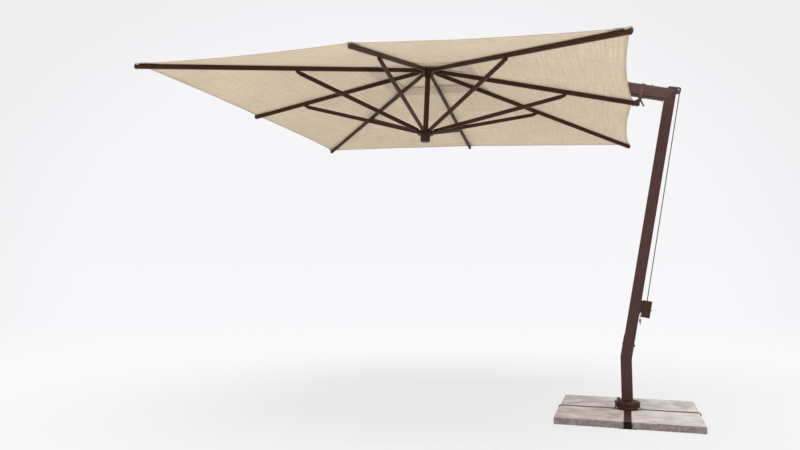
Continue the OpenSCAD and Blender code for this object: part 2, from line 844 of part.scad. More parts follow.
// Upright tongue on top of the tip of rib 1, and a grub screw below it
module strap_tongue(end) {
  // [x from the rib's end, height above the rib's top]
  outline = [[-34, 0.1], [18, 1.2], [22, 20], [23, 31], [20, 33], [2, 33], [-4, 20]];
  rib_top = [end, rib_h / 2];
  color(bronze) difference() {
    side_plate(13, [for (point = outline) rib_top + point]);
    y_rod(4, 60, rib_top + [11, 22]);
  }
  color(dark) translate([end - 30, 0, -rib_h / 2 - 8]) cylinder(r = 3, h = 7.8);
}

module rib_fittings(k) {
  rib_frame(k) {
    forged_end(rib_start, rib_h, rib_w, slope = [8, 22], plug_len = 55, plug_play = 3.8,
      plug_r = 2.4, hole_r = 3.05);
    color(zinc) y_rod(3, 32);
    tip_cap(rib_end(k));
    strut_saddle(joint_along(k));
    if (k == 1) strap_tongue(rib_end(k));
  }
}

// Outer end of a strut with its eye and its plug
module strut_tip(length) {
  top = strut_h / 2;
  neck = strut_end_h / 2;
  // Upper half of the outline, as [distance back from the pin, z]
  upper = [[29.9, top - 0.1], [26, top - 0.6], [15, neck], [8, neck], [8, 9], [0, 9]];
  color(dark) difference() {
    union() {
      y_rod(9, strut_end_w, [length, 0]);
      side_plate(strut_end_w, concat(
        [for (point = upper) [length - point[0], point[1]]],
        [for (i = [len(upper) - 1 : -1 : 0]) [length - upper[i][0], -upper[i][1]]]));
      bar(length - 62, length - 29, strut_h - 3.6, strut_w - 3.6, 2);
    }
    y_rod(3.06, 60, [length, 0]);
  }
}

module strut(k) {
  length = strut_len(k);
  strut_frame(k) {
    forged_end(strut_start, strut_h, strut_w, slope = [6, 14], plug_len = 40, plug_play = 3.6,
      plug_r = 2, hole_r = 3.04);
    color(zinc) y_rod(3, 30);
    color(bronze) facing_x(strut_start) linear_extrude(length - strut_start - 30)
      rounded_tube(strut_h, strut_w, 3.5, 1.5);
    strut_tip(length);
  }
}

// ---------- fabric ----------
cloth_t = 3;
cloth_gap = 3; // between the ribs and the cloth

// Heights of the cloth's underside on the axis, at an edge's middle and at a corner
cloth_peak = rib_h / 2 / cos(mid_angle) + cloth_gap + pivot_r * tan(mid_angle);
cloth_mid = cloth_peak - half * tan(mid_angle);
cloth_corner = rib_h / 2 / cos(corner_angle) + cloth_gap - corner_run * tan(corner_angle);

// Height of the underside at plan position [x, y], flat between neighbouring ribs
function cloth_z(point) =
  let (x = max(abs(point[0]), abs(point[1])), y = min(abs(point[0]), abs(point[1])))
  cloth_peak + (x - y) / half * (cloth_mid - cloth_peak)
    + y / half * (cloth_corner - cloth_peak);

// Point i of 64 around a square, 16 to a side, counter-clockwise from its +X -Y corner
function square_point(size, i) =
  let (side = floor(i / 16), along = -size + 2 * size * (i % 16) / 16)
  [[size, along], [-along, size], [-size, -along], [along, -size]][side];

// The same point with the edge bowed inwards between ribs, 8 points apart
function bowed_point(size, depth, i) =
  let (t = (i % 8) / 8, inward = [[-1, 0], [0, -1], [1, 0], [0, 1]][floor(i / 16)])
  square_point(size, i) + inward * depth * 4 * t * (1 - t);

// Square sheet with a hole; sizes are half sides, or the radius of a round hole
module sheet(hole, size, bow, lift, round_hole) {
  n = 64;
  inner = [for (i = [0 : n - 1])
    let (p = square_point(hole, i), q = round_hole ? p / norm(p) * hole : p)
    [q[0], q[1], cloth_z(q) + lift]];
  outer = [for (i = [0 : n - 1])
    let (p = bowed_point(size, bow, i)) [p[0], p[1], cloth_z(p) + lift]];
  lower = concat(inner, outer);
  upper = [for (p = lower) p + [0, 0, cloth_t]];
  // Per step around: underside, top, outer edge, inner edge
  faces = [for (i = [0 : n - 1]) let (j = (i + 1) % n) each [
    [i, n + j, n + i], [i, j, n + j],
    [2 * n + i, 3 * n + i, 3 * n + j], [2 * n + i, 3 * n + j, 2 * n + j],
    [n + i, 3 * n + j, 3 * n + i], [n + i, n + j, 3 * n + j],
    [i, 2 * n + i, 2 * n + j], [i, 2 * n + j, j]]];
  polyhedron(points = concat(lower, upper), faces = faces);
}

module canopy() {
  color(linen) hub_frame()
    sheet(hole = 340, size = half - 2, bow = edge_bow, lift = 0, round_hole = false);
}

module vent_cap() {
  color(linen) hub_frame() sheet(hole = 40, size = 478, bow = 8, lift = 11, round_hole = true);
}

base_cross();
slabs();
cross_end_caps();
swivel_base();
flange_bolts();
swivel_bush();
swivel_cover();
lock_knob();
lower_post();
mast();
mast_insert();
mast_plate();
mast_bolts();
corner_insert();
corner_cap();
corner_pulley();
arm();
arm_rail();
arm_knob();
hub_bracket();
pivot_pins();
winch_housing();
winch_back_plate();
winch_screws();
winch_bushes();
winch_drum();
winch_shaft();
lift_rope();
rope_toggle();
tie_strap();
upper_hub();
canopy();
vent_cap();
hub_tube();
lower_hub();
lower_hub_cup();
rib(1);  // rib_1
rib(2);  // rib_2
rib(3);  // rib_3
rib(4);  // rib_4
rib(5);  // rib_5
rib(6);  // rib_6
rib(7);  // rib_7
rib(8);  // rib_8
rib_fittings(1);  // rib_fittings_1
rib_fittings(2);  // rib_fittings_2
rib_fittings(3);  // rib_fittings_3
rib_fittings(4);  // rib_fittings_4
rib_fittings(5);  // rib_fittings_5
rib_fittings(6);  // rib_fittings_6
rib_fittings(7);  // rib_fittings_7
rib_fittings(8);  // rib_fittings_8
strut(1);  // strut_1
strut(2);  // strut_2
strut(3);  // strut_3
strut(4);  // strut_4
strut(5);  // strut_5
strut(6);  // strut_6
strut(7);  // strut_7
strut(8);  // strut_8
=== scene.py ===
"""Cantilever parasol with a square canopy, in metres, +Z up.

The base stands on z = 0 with four concrete slabs. The mast leans towards +X, and the boom
runs from its top towards -X and upwards, to the hub of the canopy. Ribs are numbered 1 to 8
anticlockwise from +X: odd ones reach the middles of the canopy's edges, even ones its corners.
The CAD pieces get materials; cloth, slabs, cords and straps are built here.
"""

import math
from collections import namedtuple

import bmesh
import bpy
from mathutils import Matrix, Vector, noise


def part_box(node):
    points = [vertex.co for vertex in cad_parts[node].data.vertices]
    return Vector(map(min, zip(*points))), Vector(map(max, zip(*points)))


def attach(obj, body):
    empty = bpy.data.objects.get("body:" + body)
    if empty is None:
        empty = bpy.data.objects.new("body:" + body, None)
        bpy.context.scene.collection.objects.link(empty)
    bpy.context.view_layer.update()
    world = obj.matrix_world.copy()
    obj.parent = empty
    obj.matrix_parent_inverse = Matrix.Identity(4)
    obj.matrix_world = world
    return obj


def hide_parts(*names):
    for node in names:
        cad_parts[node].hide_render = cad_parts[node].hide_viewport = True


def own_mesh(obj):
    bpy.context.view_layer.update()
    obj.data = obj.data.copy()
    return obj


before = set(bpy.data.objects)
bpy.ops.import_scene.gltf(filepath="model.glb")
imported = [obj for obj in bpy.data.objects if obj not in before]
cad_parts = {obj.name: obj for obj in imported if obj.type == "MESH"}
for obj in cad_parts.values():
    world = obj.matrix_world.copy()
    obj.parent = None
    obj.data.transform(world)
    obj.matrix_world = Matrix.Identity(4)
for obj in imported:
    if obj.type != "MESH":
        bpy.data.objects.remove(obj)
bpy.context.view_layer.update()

# ---------------------------------------------------------------- driving dimensions
RIB_HALF = 1.75          # half side of the rib frame, in plan
PIVOT_R = 0.058          # rib pivots from the hub's axis
MIDDLE_SLOPE = 0.361 / (RIB_HALF - PIVOT_R)
CORNER_SLOPE = 0.393 / (RIB_HALF * math.sqrt(2) - PIVOT_R)

CLOTH_TOP = 0.03378      # height of the cloth over the hub plane: at the axis,
CLOTH_MIDDLE = -0.33959  # at the end of a middle rib,
CLOTH_CORNER = -0.37176  # and at the end of a corner rib
VENT_HALF = 0.340        # half side of the square vent opening
CAP_HOLE_R = 0.062       # round hole in the middle of the vent cap

HUB_M = Matrix.Translation((-1.641, 0.0, 2.967)) @ Matrix.Rotation(math.radians(2.7), 4, "Y")
HUB_R = HUB_M.to_3x3()

MAST_LEAN = math.radians(10.55)
BOOM_RISE_DEG = 14.7
BOOM_RISE = math.radians(BOOM_RISE_DEG)
MAST_FOOT = Vector((0.0, 0.0, 0.443))
MAST_UP = Vector((math.sin(MAST_LEAN), 0, math.cos(MAST_LEAN)))
MAST_OUT = Vector((math.cos(MAST_LEAN), 0, -math.sin(MAST_LEAN)))    # square to the mast, to +X
MAST_TOP = MAST_FOOT + 2.151 * MAST_UP
BOOM_DIR = Vector((-math.cos(BOOM_RISE), 0, math.sin(BOOM_RISE)))
BOOM_UP = Vector((math.sin(BOOM_RISE), 0, math.cos(BOOM_RISE)))


# ---------------------------------------------------------------- node helpers
class Nodes:
    """A shader tree. Inputs may be numbers, (r, g, b) or (x, y, z) tuples, or node outputs."""

    def __init__(self, owner, output):
        owner.use_nodes = True
        self.owner = owner
        self.tree = owner.node_tree
        self.tree.nodes.clear()
        self.output = self.tree.nodes.new(output)

    def put(self, socket, value):
        if isinstance(value, bpy.types.NodeSocket):
            self.tree.links.new(value, socket)
        elif isinstance(value, tuple):
            socket.default_value = (*value, 1.0)[:len(socket.default_value)]
        elif value is not None:
            socket.default_value = value

    def node(self, kind, inputs=None, **settings):
        node = self.tree.nodes.new(kind)
        for key, value in settings.items():
            setattr(node, key, value)
        for key, value in (inputs or {}).items():
            self.put(node.inputs[key], value)
        return node

    def math(self, operation, a, b=None, c=None):
        return self.node("ShaderNodeMath", {0: a, 1: b, 2: c}, operation=operation).outputs[0]

    def add(self, a, b):
        return self.math("ADD", a, b)

    def times(self, a, b):
        return self.math("MULTIPLY", a, b)

    def weighted(self, *pairs):
        """The sum of (value, weight) pairs."""
        total = self.times(*pairs[0])
        for value, weight in pairs[1:]:
            total = self.add(total, self.times(value, weight))
        return total

    def vector_math(self, operation, a, b):
        return self.node("ShaderNodeVectorMath", {0: a, 1: b}, operation=operation)

    def scale(self, vector, factor):
        return self.node("ShaderNodeVectorMath", {0: vector, 3: factor},
                         operation="SCALE").outputs[0]

    def noise(self, coords, scale, detail=4.0, rough=0.6, distortion=0.0):
        inputs = {"Vector": coords, "Scale": scale, "Detail": detail, "Roughness": rough,
                  "Distortion": distortion}
        return self.node("ShaderNodeTexNoise", inputs).outputs[0]

    def voronoi(self, coords, scale):
        inputs = {"Vector": coords, "Scale": scale}
        return self.node("ShaderNodeTexVoronoi", inputs).outputs["Distance"]

    def remap(self, value, span=(0.3, 0.7), to=(0.0, 1.0), kind="LINEAR"):
        """Maps the span of values to another, clamped at both ends."""
        inputs = {0: value, 1: span[0], 2: span[1], 3: to[0], 4: to[1]}
        return self.node("ShaderNodeMapRange", inputs, interpolation_type=kind).outputs[0]

    def mix(self, factor, a, b):
        return self.node("ShaderNodeMix", {0: factor, 6: a, 7: b}, data_type="RGBA").outputs[2] \
            if False else self._mix(factor, a, b)

    def _mix(self, factor, a, b):
        node = self.node("ShaderNodeMix", data_type="RGBA")
        for key, value in ((0, factor), (6, a), (7, b)):
            self.put(node.inputs[key], value)
        return node.outputs[2]

    def mix_shader(self, factor, a, b):
        return self.node("ShaderNodeMixShader", {0: factor, 1: a, 2: b}).outputs[0]

    def combine(self, x, y, z=0.0):
        return self.node("ShaderNodeCombineXYZ", {0: x, 1: y, 2: z}).outputs[0]

    def split(self, vector):
        return self.node("ShaderNodeSeparateXYZ", {0: vector}).outputs

    def stretch(self, coords, factors):
        """Coordinates with each axis multiplied by its own factor."""
        axes = self.split(coords)
        return self.combine(*[self.times(axis, f) for axis, f in zip(axes, factors)])

    def object_coords(self):
        return self.node("ShaderNodeTexCoord").outputs["Object"]

    def attribute(self, name, output="Fac"):
        return self.node("ShaderNodeAttribute", attribute_name=name).outputs[output]

    def bump(self, height, strength, distance):
        inputs = {"Strength": strength, "Distance": distance, "Height": height}
        return self.node("ShaderNodeBump", inputs).outputs[0]

    def surface(self, color, rough, normal, spec, metallic=0.0, sheen=0.0, sheen_tint=None):
        inputs = {"Base Color": color, "Roughness": rough, "Metallic": metallic,
                  "Specular IOR Level": spec, "Normal": normal}
        if sheen:
            inputs.update({"Sheen Weight": sheen, "Sheen Roughness": 0.4,
                           "Sheen Tint": sheen_tint})
        return self.node("ShaderNodeBsdfPrincipled", inputs).outputs[0]

    def finish(self, shader):
        self.put(self.output.inputs["Surface"], shader)
        return self.owner


def new_material(name):
    return Nodes(bpy.data.materials.new(name), "ShaderNodeOutputMaterial")


# ---------------------------------------------------------------- materials
def powder_coat(name, base, rough=0.46, spec=0.4, metal=0.08, edge_wear_and_highlight=0.45):
    """Powder coat: fine orange peel, mottled tone, edges lightened by wear and painted highlight,
    long faint streaks.
    """
    mat = new_material(name)
    coords = mat.object_coords()
    fine = mat.noise(coords, scale=420.0)
    mid = mat.noise(coords, scale=95.0)
    broad = mat.noise(coords, scale=7.0, detail=3.0, rough=0.5)
    streak = mat.noise(mat.stretch(coords, (60.0, 60.0, 3.0)), scale=1.0, detail=3.0, rough=0.55)
    tone = mat.weighted((mid, 0.55), (broad, 0.45))
    dark = tuple(c * 0.66 for c in base)
    light = tuple(c * 1.36 for c in base)
    color = mat.mix(mat.remap(tone, span=(0.32, 0.68)), dark, light)
    color = mat.mix(0.45, color, base)
    color = mat.scale(color, mat.remap(fine, to=(0.80, 1.22)))
    color = mat.scale(color, mat.remap(streak, span=(0.35, 0.7), to=(0.93, 1.08)))
    # Edges lightened by wear and painted highlight, found from how far the rounded normal leans
    # from the true one
    rounded = mat.node("ShaderNodeBevel", {"Radius": 0.0022}, samples=4).outputs[0]
    true = mat.node("ShaderNodeNewGeometry").outputs["Normal"]
    lean = mat.vector_math("DOT_PRODUCT", rounded, true).outputs["Value"]
    patches = mat.noise(coords, scale=60.0, detail=5.0, rough=0.65)
    edge = mat.times(mat.remap(lean, span=(0.985, 0.80)), mat.remap(patches, span=(0.42, 0.62)))
    # Painted highlight, with some real wear: the edge mask lightens the coat
    color = mat.mix(mat.times(edge, edge_wear_and_highlight), color, (0.20, 0.125, 0.10))
    gloss = mat.add(mat.remap(mid, to=(rough - 0.07, rough + 0.09)), mat.times(edge, -0.10))
    peel = mat.weighted((fine, 0.7), (mat.voronoi(coords, scale=650.0), 0.5))
    normal = mat.bump(peel, strength=0.35, distance=0.0006)
    return mat.finish(mat.surface(color, gloss, normal, spec=spec, metallic=metal))


def moulded(name, base, light, rough=0.5):
    """Dark moulded plastic with fine flow mottling."""
    mat = new_material(name)
    coords = mat.object_coords()
    fine = mat.noise(coords, scale=160.0)
    flow = mat.noise(coords, scale=22.0, detail=3.0, rough=0.5, distortion=0.8)
    tone = mat.weighted((fine, 0.5), (flow, 0.5))
    color = mat.mix(mat.remap(tone, span=(0.35, 0.66)), base, light)
    speck = mat.noise(coords, scale=700.0, detail=2.0, rough=0.55)
    color = mat.scale(color, mat.remap(speck, to=(0.85, 1.15)))
    grain = mat.noise(coords, scale=900.0, detail=3.0, rough=0.7)
    normal = mat.bump(grain, strength=0.25, distance=0.0004)
    gloss = mat.remap(fine, to=(rough - 0.06, rough + 0.08))
    return mat.finish(mat.surface(color, gloss, normal, spec=0.45))


def zinc(name):
    """Zinc plate with spangles and brown tarnish."""
    mat = new_material(name)
    coords = mat.object_coords()
    spangle = mat.voronoi(coords, scale=260.0)
    mottle = mat.noise(coords, scale=120.0)
    color = mat.mix(mat.remap(mottle), (0.50, 0.50, 0.49), (0.74, 0.73, 0.70))
    tarnish = mat.noise(coords, scale=35.0, detail=5.0, rough=0.7)
    tarnish = mat.remap(tarnish, span=(0.60, 0.74), to=(0.0, 0.55))
    color = mat.mix(tarnish, color, (0.33, 0.27, 0.22))
    normal = mat.bump(mat.add(spangle, mottle), strength=0.2, distance=0.0004)
    gloss = mat.remap(spangle, span=(0.0, 0.5), to=(0.24, 0.42))
    return mat.finish(mat.surface(color, gloss, normal, spec=0.5, metallic=0.9))


def white_plastic(name):
    mat = new_material(name)
    mottle = mat.noise(mat.object_coords(), scale=140.0, detail=3.0)
    color = mat.mix(mat.remap(mottle), (0.66, 0.65, 0.61), (0.80, 0.79, 0.75))
    normal = mat.bump(mottle, strength=0.15, distance=0.0004)
    gloss = mat.remap(mottle, to=(0.36, 0.5))
    return mat.finish(mat.surface(color, gloss, normal, spec=0.45))


def concrete(name):
    """Cast slab: clouded, trowelled top and rough pitted sides, the sides darker partly as painted
    shade. 'side' is 1 on the sides.
    """
    mat = new_material(name)
    coords = mat.object_coords()
    side = mat.attribute("side")
    clouds = mat.noise(coords, scale=6.5, detail=5.0, distortion=0.4)
    drag = mat.noise(mat.stretch(coords, (5.0, 38.0, 5.0)), scale=1.0, distortion=0.3)
    speck = mat.noise(coords, scale=190.0, rough=0.65)
    grit = mat.noise(coords, scale=60.0, detail=5.0, rough=0.7)

    top = mat.mix(mat.remap(clouds, span=(0.36, 0.64)),
                  (0.405, 0.360, 0.335), (0.650, 0.600, 0.570))
    drag = mat.remap(drag, span=(0.54, 0.76), to=(0.0, 0.55))
    top = mat.mix(drag, top, (0.31, 0.27, 0.25))
    top = mat.scale(top, mat.remap(speck, to=(0.90, 1.09)))

    # Painted shade in part: the sides are about half as bright as the top, partly rough cast and
    # partly the lesser light on them.
    wall = mat.mix(mat.remap(grit, span=(0.36, 0.66)),
                   (0.150, 0.120, 0.108), (0.300, 0.255, 0.236))
    stones = mat.remap(mat.noise(coords, scale=26.0), span=(0.52, 0.70), to=(0.0, 0.6))
    wall = mat.mix(stones, wall, (0.375, 0.325, 0.302))
    wall = mat.scale(wall, mat.remap(speck, span=(0.28, 0.72), to=(0.80, 1.18)))
    jitter = mat.scale(mat.node("ShaderNodeTexNoise").outputs["Color"], 0.01)
    jittered = mat.vector_math("ADD", coords, jitter).outputs[0]
    solid = mat.remap(mat.voronoi(jittered, scale=85.0), span=(0.06, 0.16))    # 0 in the pits
    # Painted shade: the pits are painted near black, the shade inside the holes.
    wall = mat.mix(mat.math("SUBTRACT", 1.0, solid), wall, (0.085, 0.07, 0.062))

    height = mat.weighted((speck, 0.35), (mat.times(grit, side), 1.4),
                          (mat.times(solid, side), 0.8))
    normal = mat.bump(height, strength=0.55, distance=0.0022)
    gloss = mat.remap(speck, to=(0.80, 0.95))
    return mat.finish(mat.surface(mat.mix(side, top, wall), gloss, normal, spec=0.25))


def tube_plug(name):
    """Coated rim of a square tube round a black plug, told apart by position."""
    half_plug, plug_top = 0.0225, 0.0535
    mat = new_material(name)
    coords = mat.object_coords()
    x, y, z = mat.split(coords)
    nearest = mat.math("MINIMUM", mat.math("ABSOLUTE", x), mat.math("ABSOLUTE", y))
    inside = mat.times(mat.math("LESS_THAN", nearest, half_plug),
                       mat.math("LESS_THAN", z, plug_top))
    mottle = mat.noise(coords, scale=300.0)
    rim = mat.scale((0.046, 0.0175, 0.0115), mat.remap(mottle, to=(0.82, 1.2)))
    plug = mat.scale((0.0022, 0.0020, 0.0019), mat.remap(mottle, to=(0.75, 1.3)))
    grain = mat.noise(coords, scale=800.0, detail=3.0, rough=0.7)
    normal = mat.bump(grain, strength=0.3, distance=0.0004)
    gloss = mat.remap(mottle, to=(0.55, 0.7))
    return mat.finish(mat.surface(mat.mix(inside, rim, plug), gloss, normal, spec=0.16))


def fabric(name, base, translucency, top=1.0):
    """Plain-weave cloth with slubs and stitch rows; top scales the colour of the upper side, as
    painted shade.

    Attributes, in metres: 'weave' is the place in the cloth (x along the weft, y along the
    warp), 'hem' and 'seam' the distances from the edge and the rib line, 'run' the length
    along a stitch row.
    """
    mat = new_material(name)
    weave = mat.attribute("weave", "Vector")
    weft, warp, _ = mat.split(weave)
    hem = mat.attribute("hem")
    seam = mat.attribute("seam")
    run = mat.attribute("run")

    def yarns(along_weft, along_warp, shift, detail=3.0, rough=0.6):
        """Noise with its own frequency along the weft and the warp."""
        place = mat.combine(mat.math("MULTIPLY_ADD", weft, along_weft, shift),
                            mat.math("MULTIPLY_ADD", warp, along_warp, shift * 1.7))
        return mat.noise(place, scale=1.0, detail=detail, rough=rough, distortion=0.15)

    # Slubs: thick and thin yarns running both ways
    weft_wide = yarns(2.2, 62.0, shift=3.1)
    weft_fine = yarns(5.5, 190.0, shift=7.7)
    warp_wide = yarns(58.0, 2.6, shift=12.3)
    warp_fine = yarns(175.0, 6.5, shift=21.9)
    tone = mat.noise(weave, scale=1.6, detail=3.0, rough=0.5)
    mottle = mat.noise(weave, scale=26.0)
    slub_span = (0.30, 0.72)
    shade = mat.remap(weft_wide, span=slub_span, to=(0.885, 1.095))
    for value, low, high in ((weft_fine, 0.92, 1.07), (warp_wide, 0.925, 1.065),
                             (warp_fine, 0.945, 1.05), (tone, 0.95, 1.05),
                             (mottle, 0.965, 1.03)):
        shade = mat.times(shade, mat.remap(value, span=slub_span, to=(low, high)))

    # Plain weave: warp and weft yarns take turns on top
    yarns_per_metre = 1400.0
    weft_wave = mat.math("SINE", mat.times(weft, yarns_per_metre * math.pi))
    warp_wave = mat.math("SINE", mat.times(warp, yarns_per_metre * math.pi))
    over = mat.times(weft_wave, warp_wave)
    yarn = mat.times(mat.math("ABSOLUTE", weft_wave), mat.math("ABSOLUTE", warp_wave))
    shade = mat.times(shade, mat.remap(over, span=(-1.0, 1.0), to=(0.955, 1.03)))
    color = mat.scale(base, shade)
    # Painted shade: the side facing up is darkened by the factor top, against the strong light from
    # above.
    facing_up = mat.split(mat.node("ShaderNodeNewGeometry").outputs["Normal"])[2]
    color = mat.scale(color, mat.remap(facing_up, span=(-0.25, 0.45), to=(1.0, top)))

    # Darker slub flecks, slightly redder
    patches = mat.remap(yarns(26.0, 30.0, shift=40.0, detail=2.0, rough=0.5), span=(0.5, 0.7))
    fleck = mat.times(mat.remap(weft_fine, span=(0.60, 0.76)), patches)
    color = mat.mix(mat.times(fleck, 0.35), color,
                    (base[0] * 0.74, base[1] * 0.66, base[2] * 0.58))

    def stitch_row(distance, at):
        half_width, pitch, filled = 0.0006, 0.0042, 0.66
        off_row = mat.math("ABSOLUTE", mat.math("SUBTRACT", distance, at))
        near = mat.math("LESS_THAN", off_row, half_width)
        saw = mat.math("FRACT", mat.times(run, 1.0 / pitch))
        return mat.times(near, mat.math("LESS_THAN", saw, filled))

    def groove_beside(distance, at):
        off_line = mat.math("ABSOLUTE", mat.math("SUBTRACT", distance, at))
        return mat.remap(off_line, span=(0.0, 0.002))

    hem_rows = mat.math("MAXIMUM", stitch_row(hem, at=0.0040), stitch_row(hem, at=0.0148))
    seam_rows = mat.math("MAXIMUM", stitch_row(seam, at=0.0035), stitch_row(seam, at=0.0078))
    stitches = mat.math("MAXIMUM", hem_rows, seam_rows)
    color = mat.mix(stitches, color, (base[0] * 0.88, base[1] * 0.84, base[2] * 0.78))
    color = mat.scale(color, mat.remap(hem, span=(0.0, 0.004), to=(0.90, 1.0)))
    groove = mat.add(groove_beside(hem, at=0.0165), groove_beside(seam, at=0.0095))
    height = mat.weighted((yarn, 0.30), (mat.add(weft_fine, warp_fine), 0.9),
                          (mat.add(weft_wide, warp_wide), 0.9), (stitches, 0.5), (groove, 0.5))
    normal = mat.bump(height, strength=0.40, distance=0.0012)
    front = mat.surface(color, 0.88, normal, spec=0.18, sheen=0.18,
                        sheen_tint=(0.95, 0.90, 0.80))
    through = mat.vector_math("MULTIPLY", color, (1.09, 1.15, 0.95)).outputs[0]
    glow = mat.node("ShaderNodeBsdfTranslucent", {"Color": through, "Normal": normal})
    return mat.finish(mat.mix_shader(translucency, front, glow.outputs[0]))


def webbing(name, base):
    """Narrow woven tape with chevron yarns across it."""
    wave_rate = 1300.0 * math.pi     # radians per metre
    mat = new_material(name)
    across, along, _ = mat.split(mat.attribute("weave", "Vector"))
    skew = mat.add(along, mat.times(mat.math("ABSOLUTE", across), 0.9))
    chevron = mat.math("SINE", mat.times(skew, wave_rate))
    rib = mat.math("SINE", mat.times(across, wave_rate * 0.8))
    fuzz = mat.noise(mat.object_coords(), scale=260.0)
    shade = mat.times(mat.remap(chevron, span=(-1.0, 1.0), to=(0.82, 1.12)),
                      mat.remap(fuzz, to=(0.86, 1.14)))
    height = mat.add(mat.times(chevron, 0.5), mat.weighted((rib, 0.3), (fuzz, 0.6)))
    normal = mat.bump(height, strength=0.5, distance=0.0006)
    return mat.finish(mat.surface(mat.scale(base, shade), 0.85, normal, spec=0.2, sheen=0.25,
                                  sheen_tint=(0.8, 0.7, 0.65)))


def cord(name, base):
    """Twisted cord: the strands are in the mesh, the yarns inside each strand are here."""
    mat = new_material(name)
    turn, along, _ = mat.split(mat.attribute("weave", "Vector"))
    twist = mat.math("SINE", mat.weighted((turn, 38.0), (along, 2600.0)))
    fuzz = mat.noise(mat.object_coords(), scale=420.0, rough=0.65)
    shade = mat.times(mat.remap(twist, span=(-1.0, 1.0), to=(0.72, 1.16)),
                      mat.remap(fuzz, to=(0.84, 1.16)))
    height = mat.weighted((twist, 0.5), (fuzz, 0.5))
    normal = mat.bump(height, strength=0.45, distance=0.0005)
    return mat.finish(mat.surface(mat.scale(base, shade), 0.78, normal, spec=0.3, sheen=0.2,
                                  sheen_tint=(0.8, 0.75, 0.7)))


def wood(name):
    """Turned wood with upright grain and a matt finish."""
    mat = new_material(name)
    place = mat.stretch(mat.object_coords(), (900.0, 900.0, 60.0))
    grain = mat.noise(place, scale=1.0, distortion=0.6)
    color = mat.mix(mat.remap(grain, span=(0.32, 0.68)),
                    (0.190, 0.145, 0.108), (0.33, 0.27, 0.21))
    normal = mat.bump(grain, strength=0.2, distance=0.0004)
    return mat.finish(mat.surface(color, mat.remap(grain, to=(0.42, 0.6)), normal, spec=0.4))


PAINTED = {"metal": 0.0, "edge_wear_and_highlight": 0.3}     # coats with no metallic share and fainter edges of wear and painted highlight
STEEL = powder_coat("coat_steel", (0.0480, 0.0158, 0.0104), spec=0.34)
BOOM = powder_coat("coat_boom", (0.065, 0.0275, 0.0220), rough=0.44, spec=0.42)
RIBS = powder_coat("coat_ribs", (0.0445, 0.0160, 0.0086), rough=0.42, spec=0.20, **PAINTED)
FITTINGS = powder_coat("coat_fittings", (0.0400, 0.0150, 0.0090), rough=0.48, spec=0.22,
                       **PAINTED)
CUP = powder_coat("coat_cup", (0.0330, 0.0118, 0.0070), rough=0.44, spec=0.24, **PAINTED)
RAIL = powder_coat("coat_rail", (0.080, 0.042, 0.034), rough=0.40)
WINCH = powder_coat("coat_winch", (0.0415, 0.0114, 0.0072), rough=0.5, spec=0.24)
SWIVEL = powder_coat("coat_swivel", (0.039, 0.0109, 0.0058), rough=0.40, spec=0.30)
DARK = moulded("moulded_dark", (0.018, 0.012, 0.010), (0.036, 0.026, 0.022))
BROWN = moulded("moulded_brown", (0.018, 0.0080, 0.0052), (0.034, 0.0165, 0.0115), rough=0.45)
BLACK = moulded("moulded_black", (0.0075, 0.0058, 0.0052), (0.015, 0.011, 0.010), rough=0.42)
PLUG = tube_plug("tube_plug")
PINS = moulded("blackened_pins", (0.035, 0.026, 0.022), (0.080, 0.062, 0.054), rough=0.35)
ZINC = zinc("zinc_fixings")
WHITE = white_plastic("white_bush_plastic")
CONCRETE = concrete("cast_concrete")
# top=0.50 is painted shade, halving the colour of the canopy's upper side.
CLOTH = fabric("slub_canopy_cloth", (0.668, 0.542, 0.413), translucency=0.09, top=0.50)
PATCH = fabric("slub_patch_cloth", (0.340, 0.290, 0.225), translucency=0.05)
TAPE = webbing("strap_webbing", (0.105, 0.056, 0.048))
ROPE = cord("hoist_cord", (0.110, 0.066, 0.056))
LIGHT_CORD = cord("toggle_cord", (0.50, 0.44, 0.34))
WOOD = wood("turned_wood")

# CAD slot -> material
SLOT_MATERIALS = {
    "bronze_coated_steel": STEEL,
    "bronze_coated_aluminium": RIBS,
    "dark_fittings": DARK,
    "zinc_steel": ZINC,
    "white_bush": WHITE,
    "concrete": CONCRETE,
    "linen_canopy": CLOTH,
    "rope_and_webbing": TAPE,
    "toggle_beige": WOOD,
}
# The same for single CAD nodes, ahead of the table above
NODE_MATERIALS = {
    "arm": {"bronze_coated_aluminium": BOOM},
    "corner_cap": {"bronze_coated_aluminium": BOOM},
    "arm_rail": {"bronze_coated_steel": RAIL, "bronze_coated_aluminium": RAIL},
    "hub_bracket": {"bronze_coated_steel": BOOM},
    "mast_insert": {"zinc_steel": BLACK},
    "cross_end_caps": {"dark_fittings": PLUG},
    "lock_knob": {"dark_fittings": BROWN},
    "winch_housing": {"bronze_coated_steel": WINCH, "bronze_coated_aluminium": WINCH},
    "swivel_base": {"bronze_coated_steel": SWIVEL},
    "swivel_cover": {"bronze_coated_steel": SWIVEL},
    "lower_hub": {"dark_fittings": BROWN, "bronze_coated_steel": RIBS},
    "upper_hub": {"dark_fittings": BROWN},
    "lower_hub_cup": {"dark_fittings": CUP, "bronze_coated_aluminium": CUP},
}
# The same for all rib fittings and struts
JOINT_MATERIALS = {"dark_fittings": FITTINGS, "zinc_steel": PINS}


def dress(name, mesh):
    """Gives each slot of a CAD piece its procedural material."""
    special = NODE_MATERIALS.get(name, {})
    if name.startswith(("rib_fittings", "strut")):
        special = JOINT_MATERIALS
    for i, slot in enumerate(mesh.materials):
        key = slot.name.split(".")[0] if slot else "bronze_coated_steel"
        mesh.materials[i] = special.get(key) or SLOT_MATERIALS.get(key, STEEL)
    if not mesh.materials:
        mesh.materials.append(STEEL)


for node_name, cad_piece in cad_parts.items():
    dress(node_name, cad_piece.data)


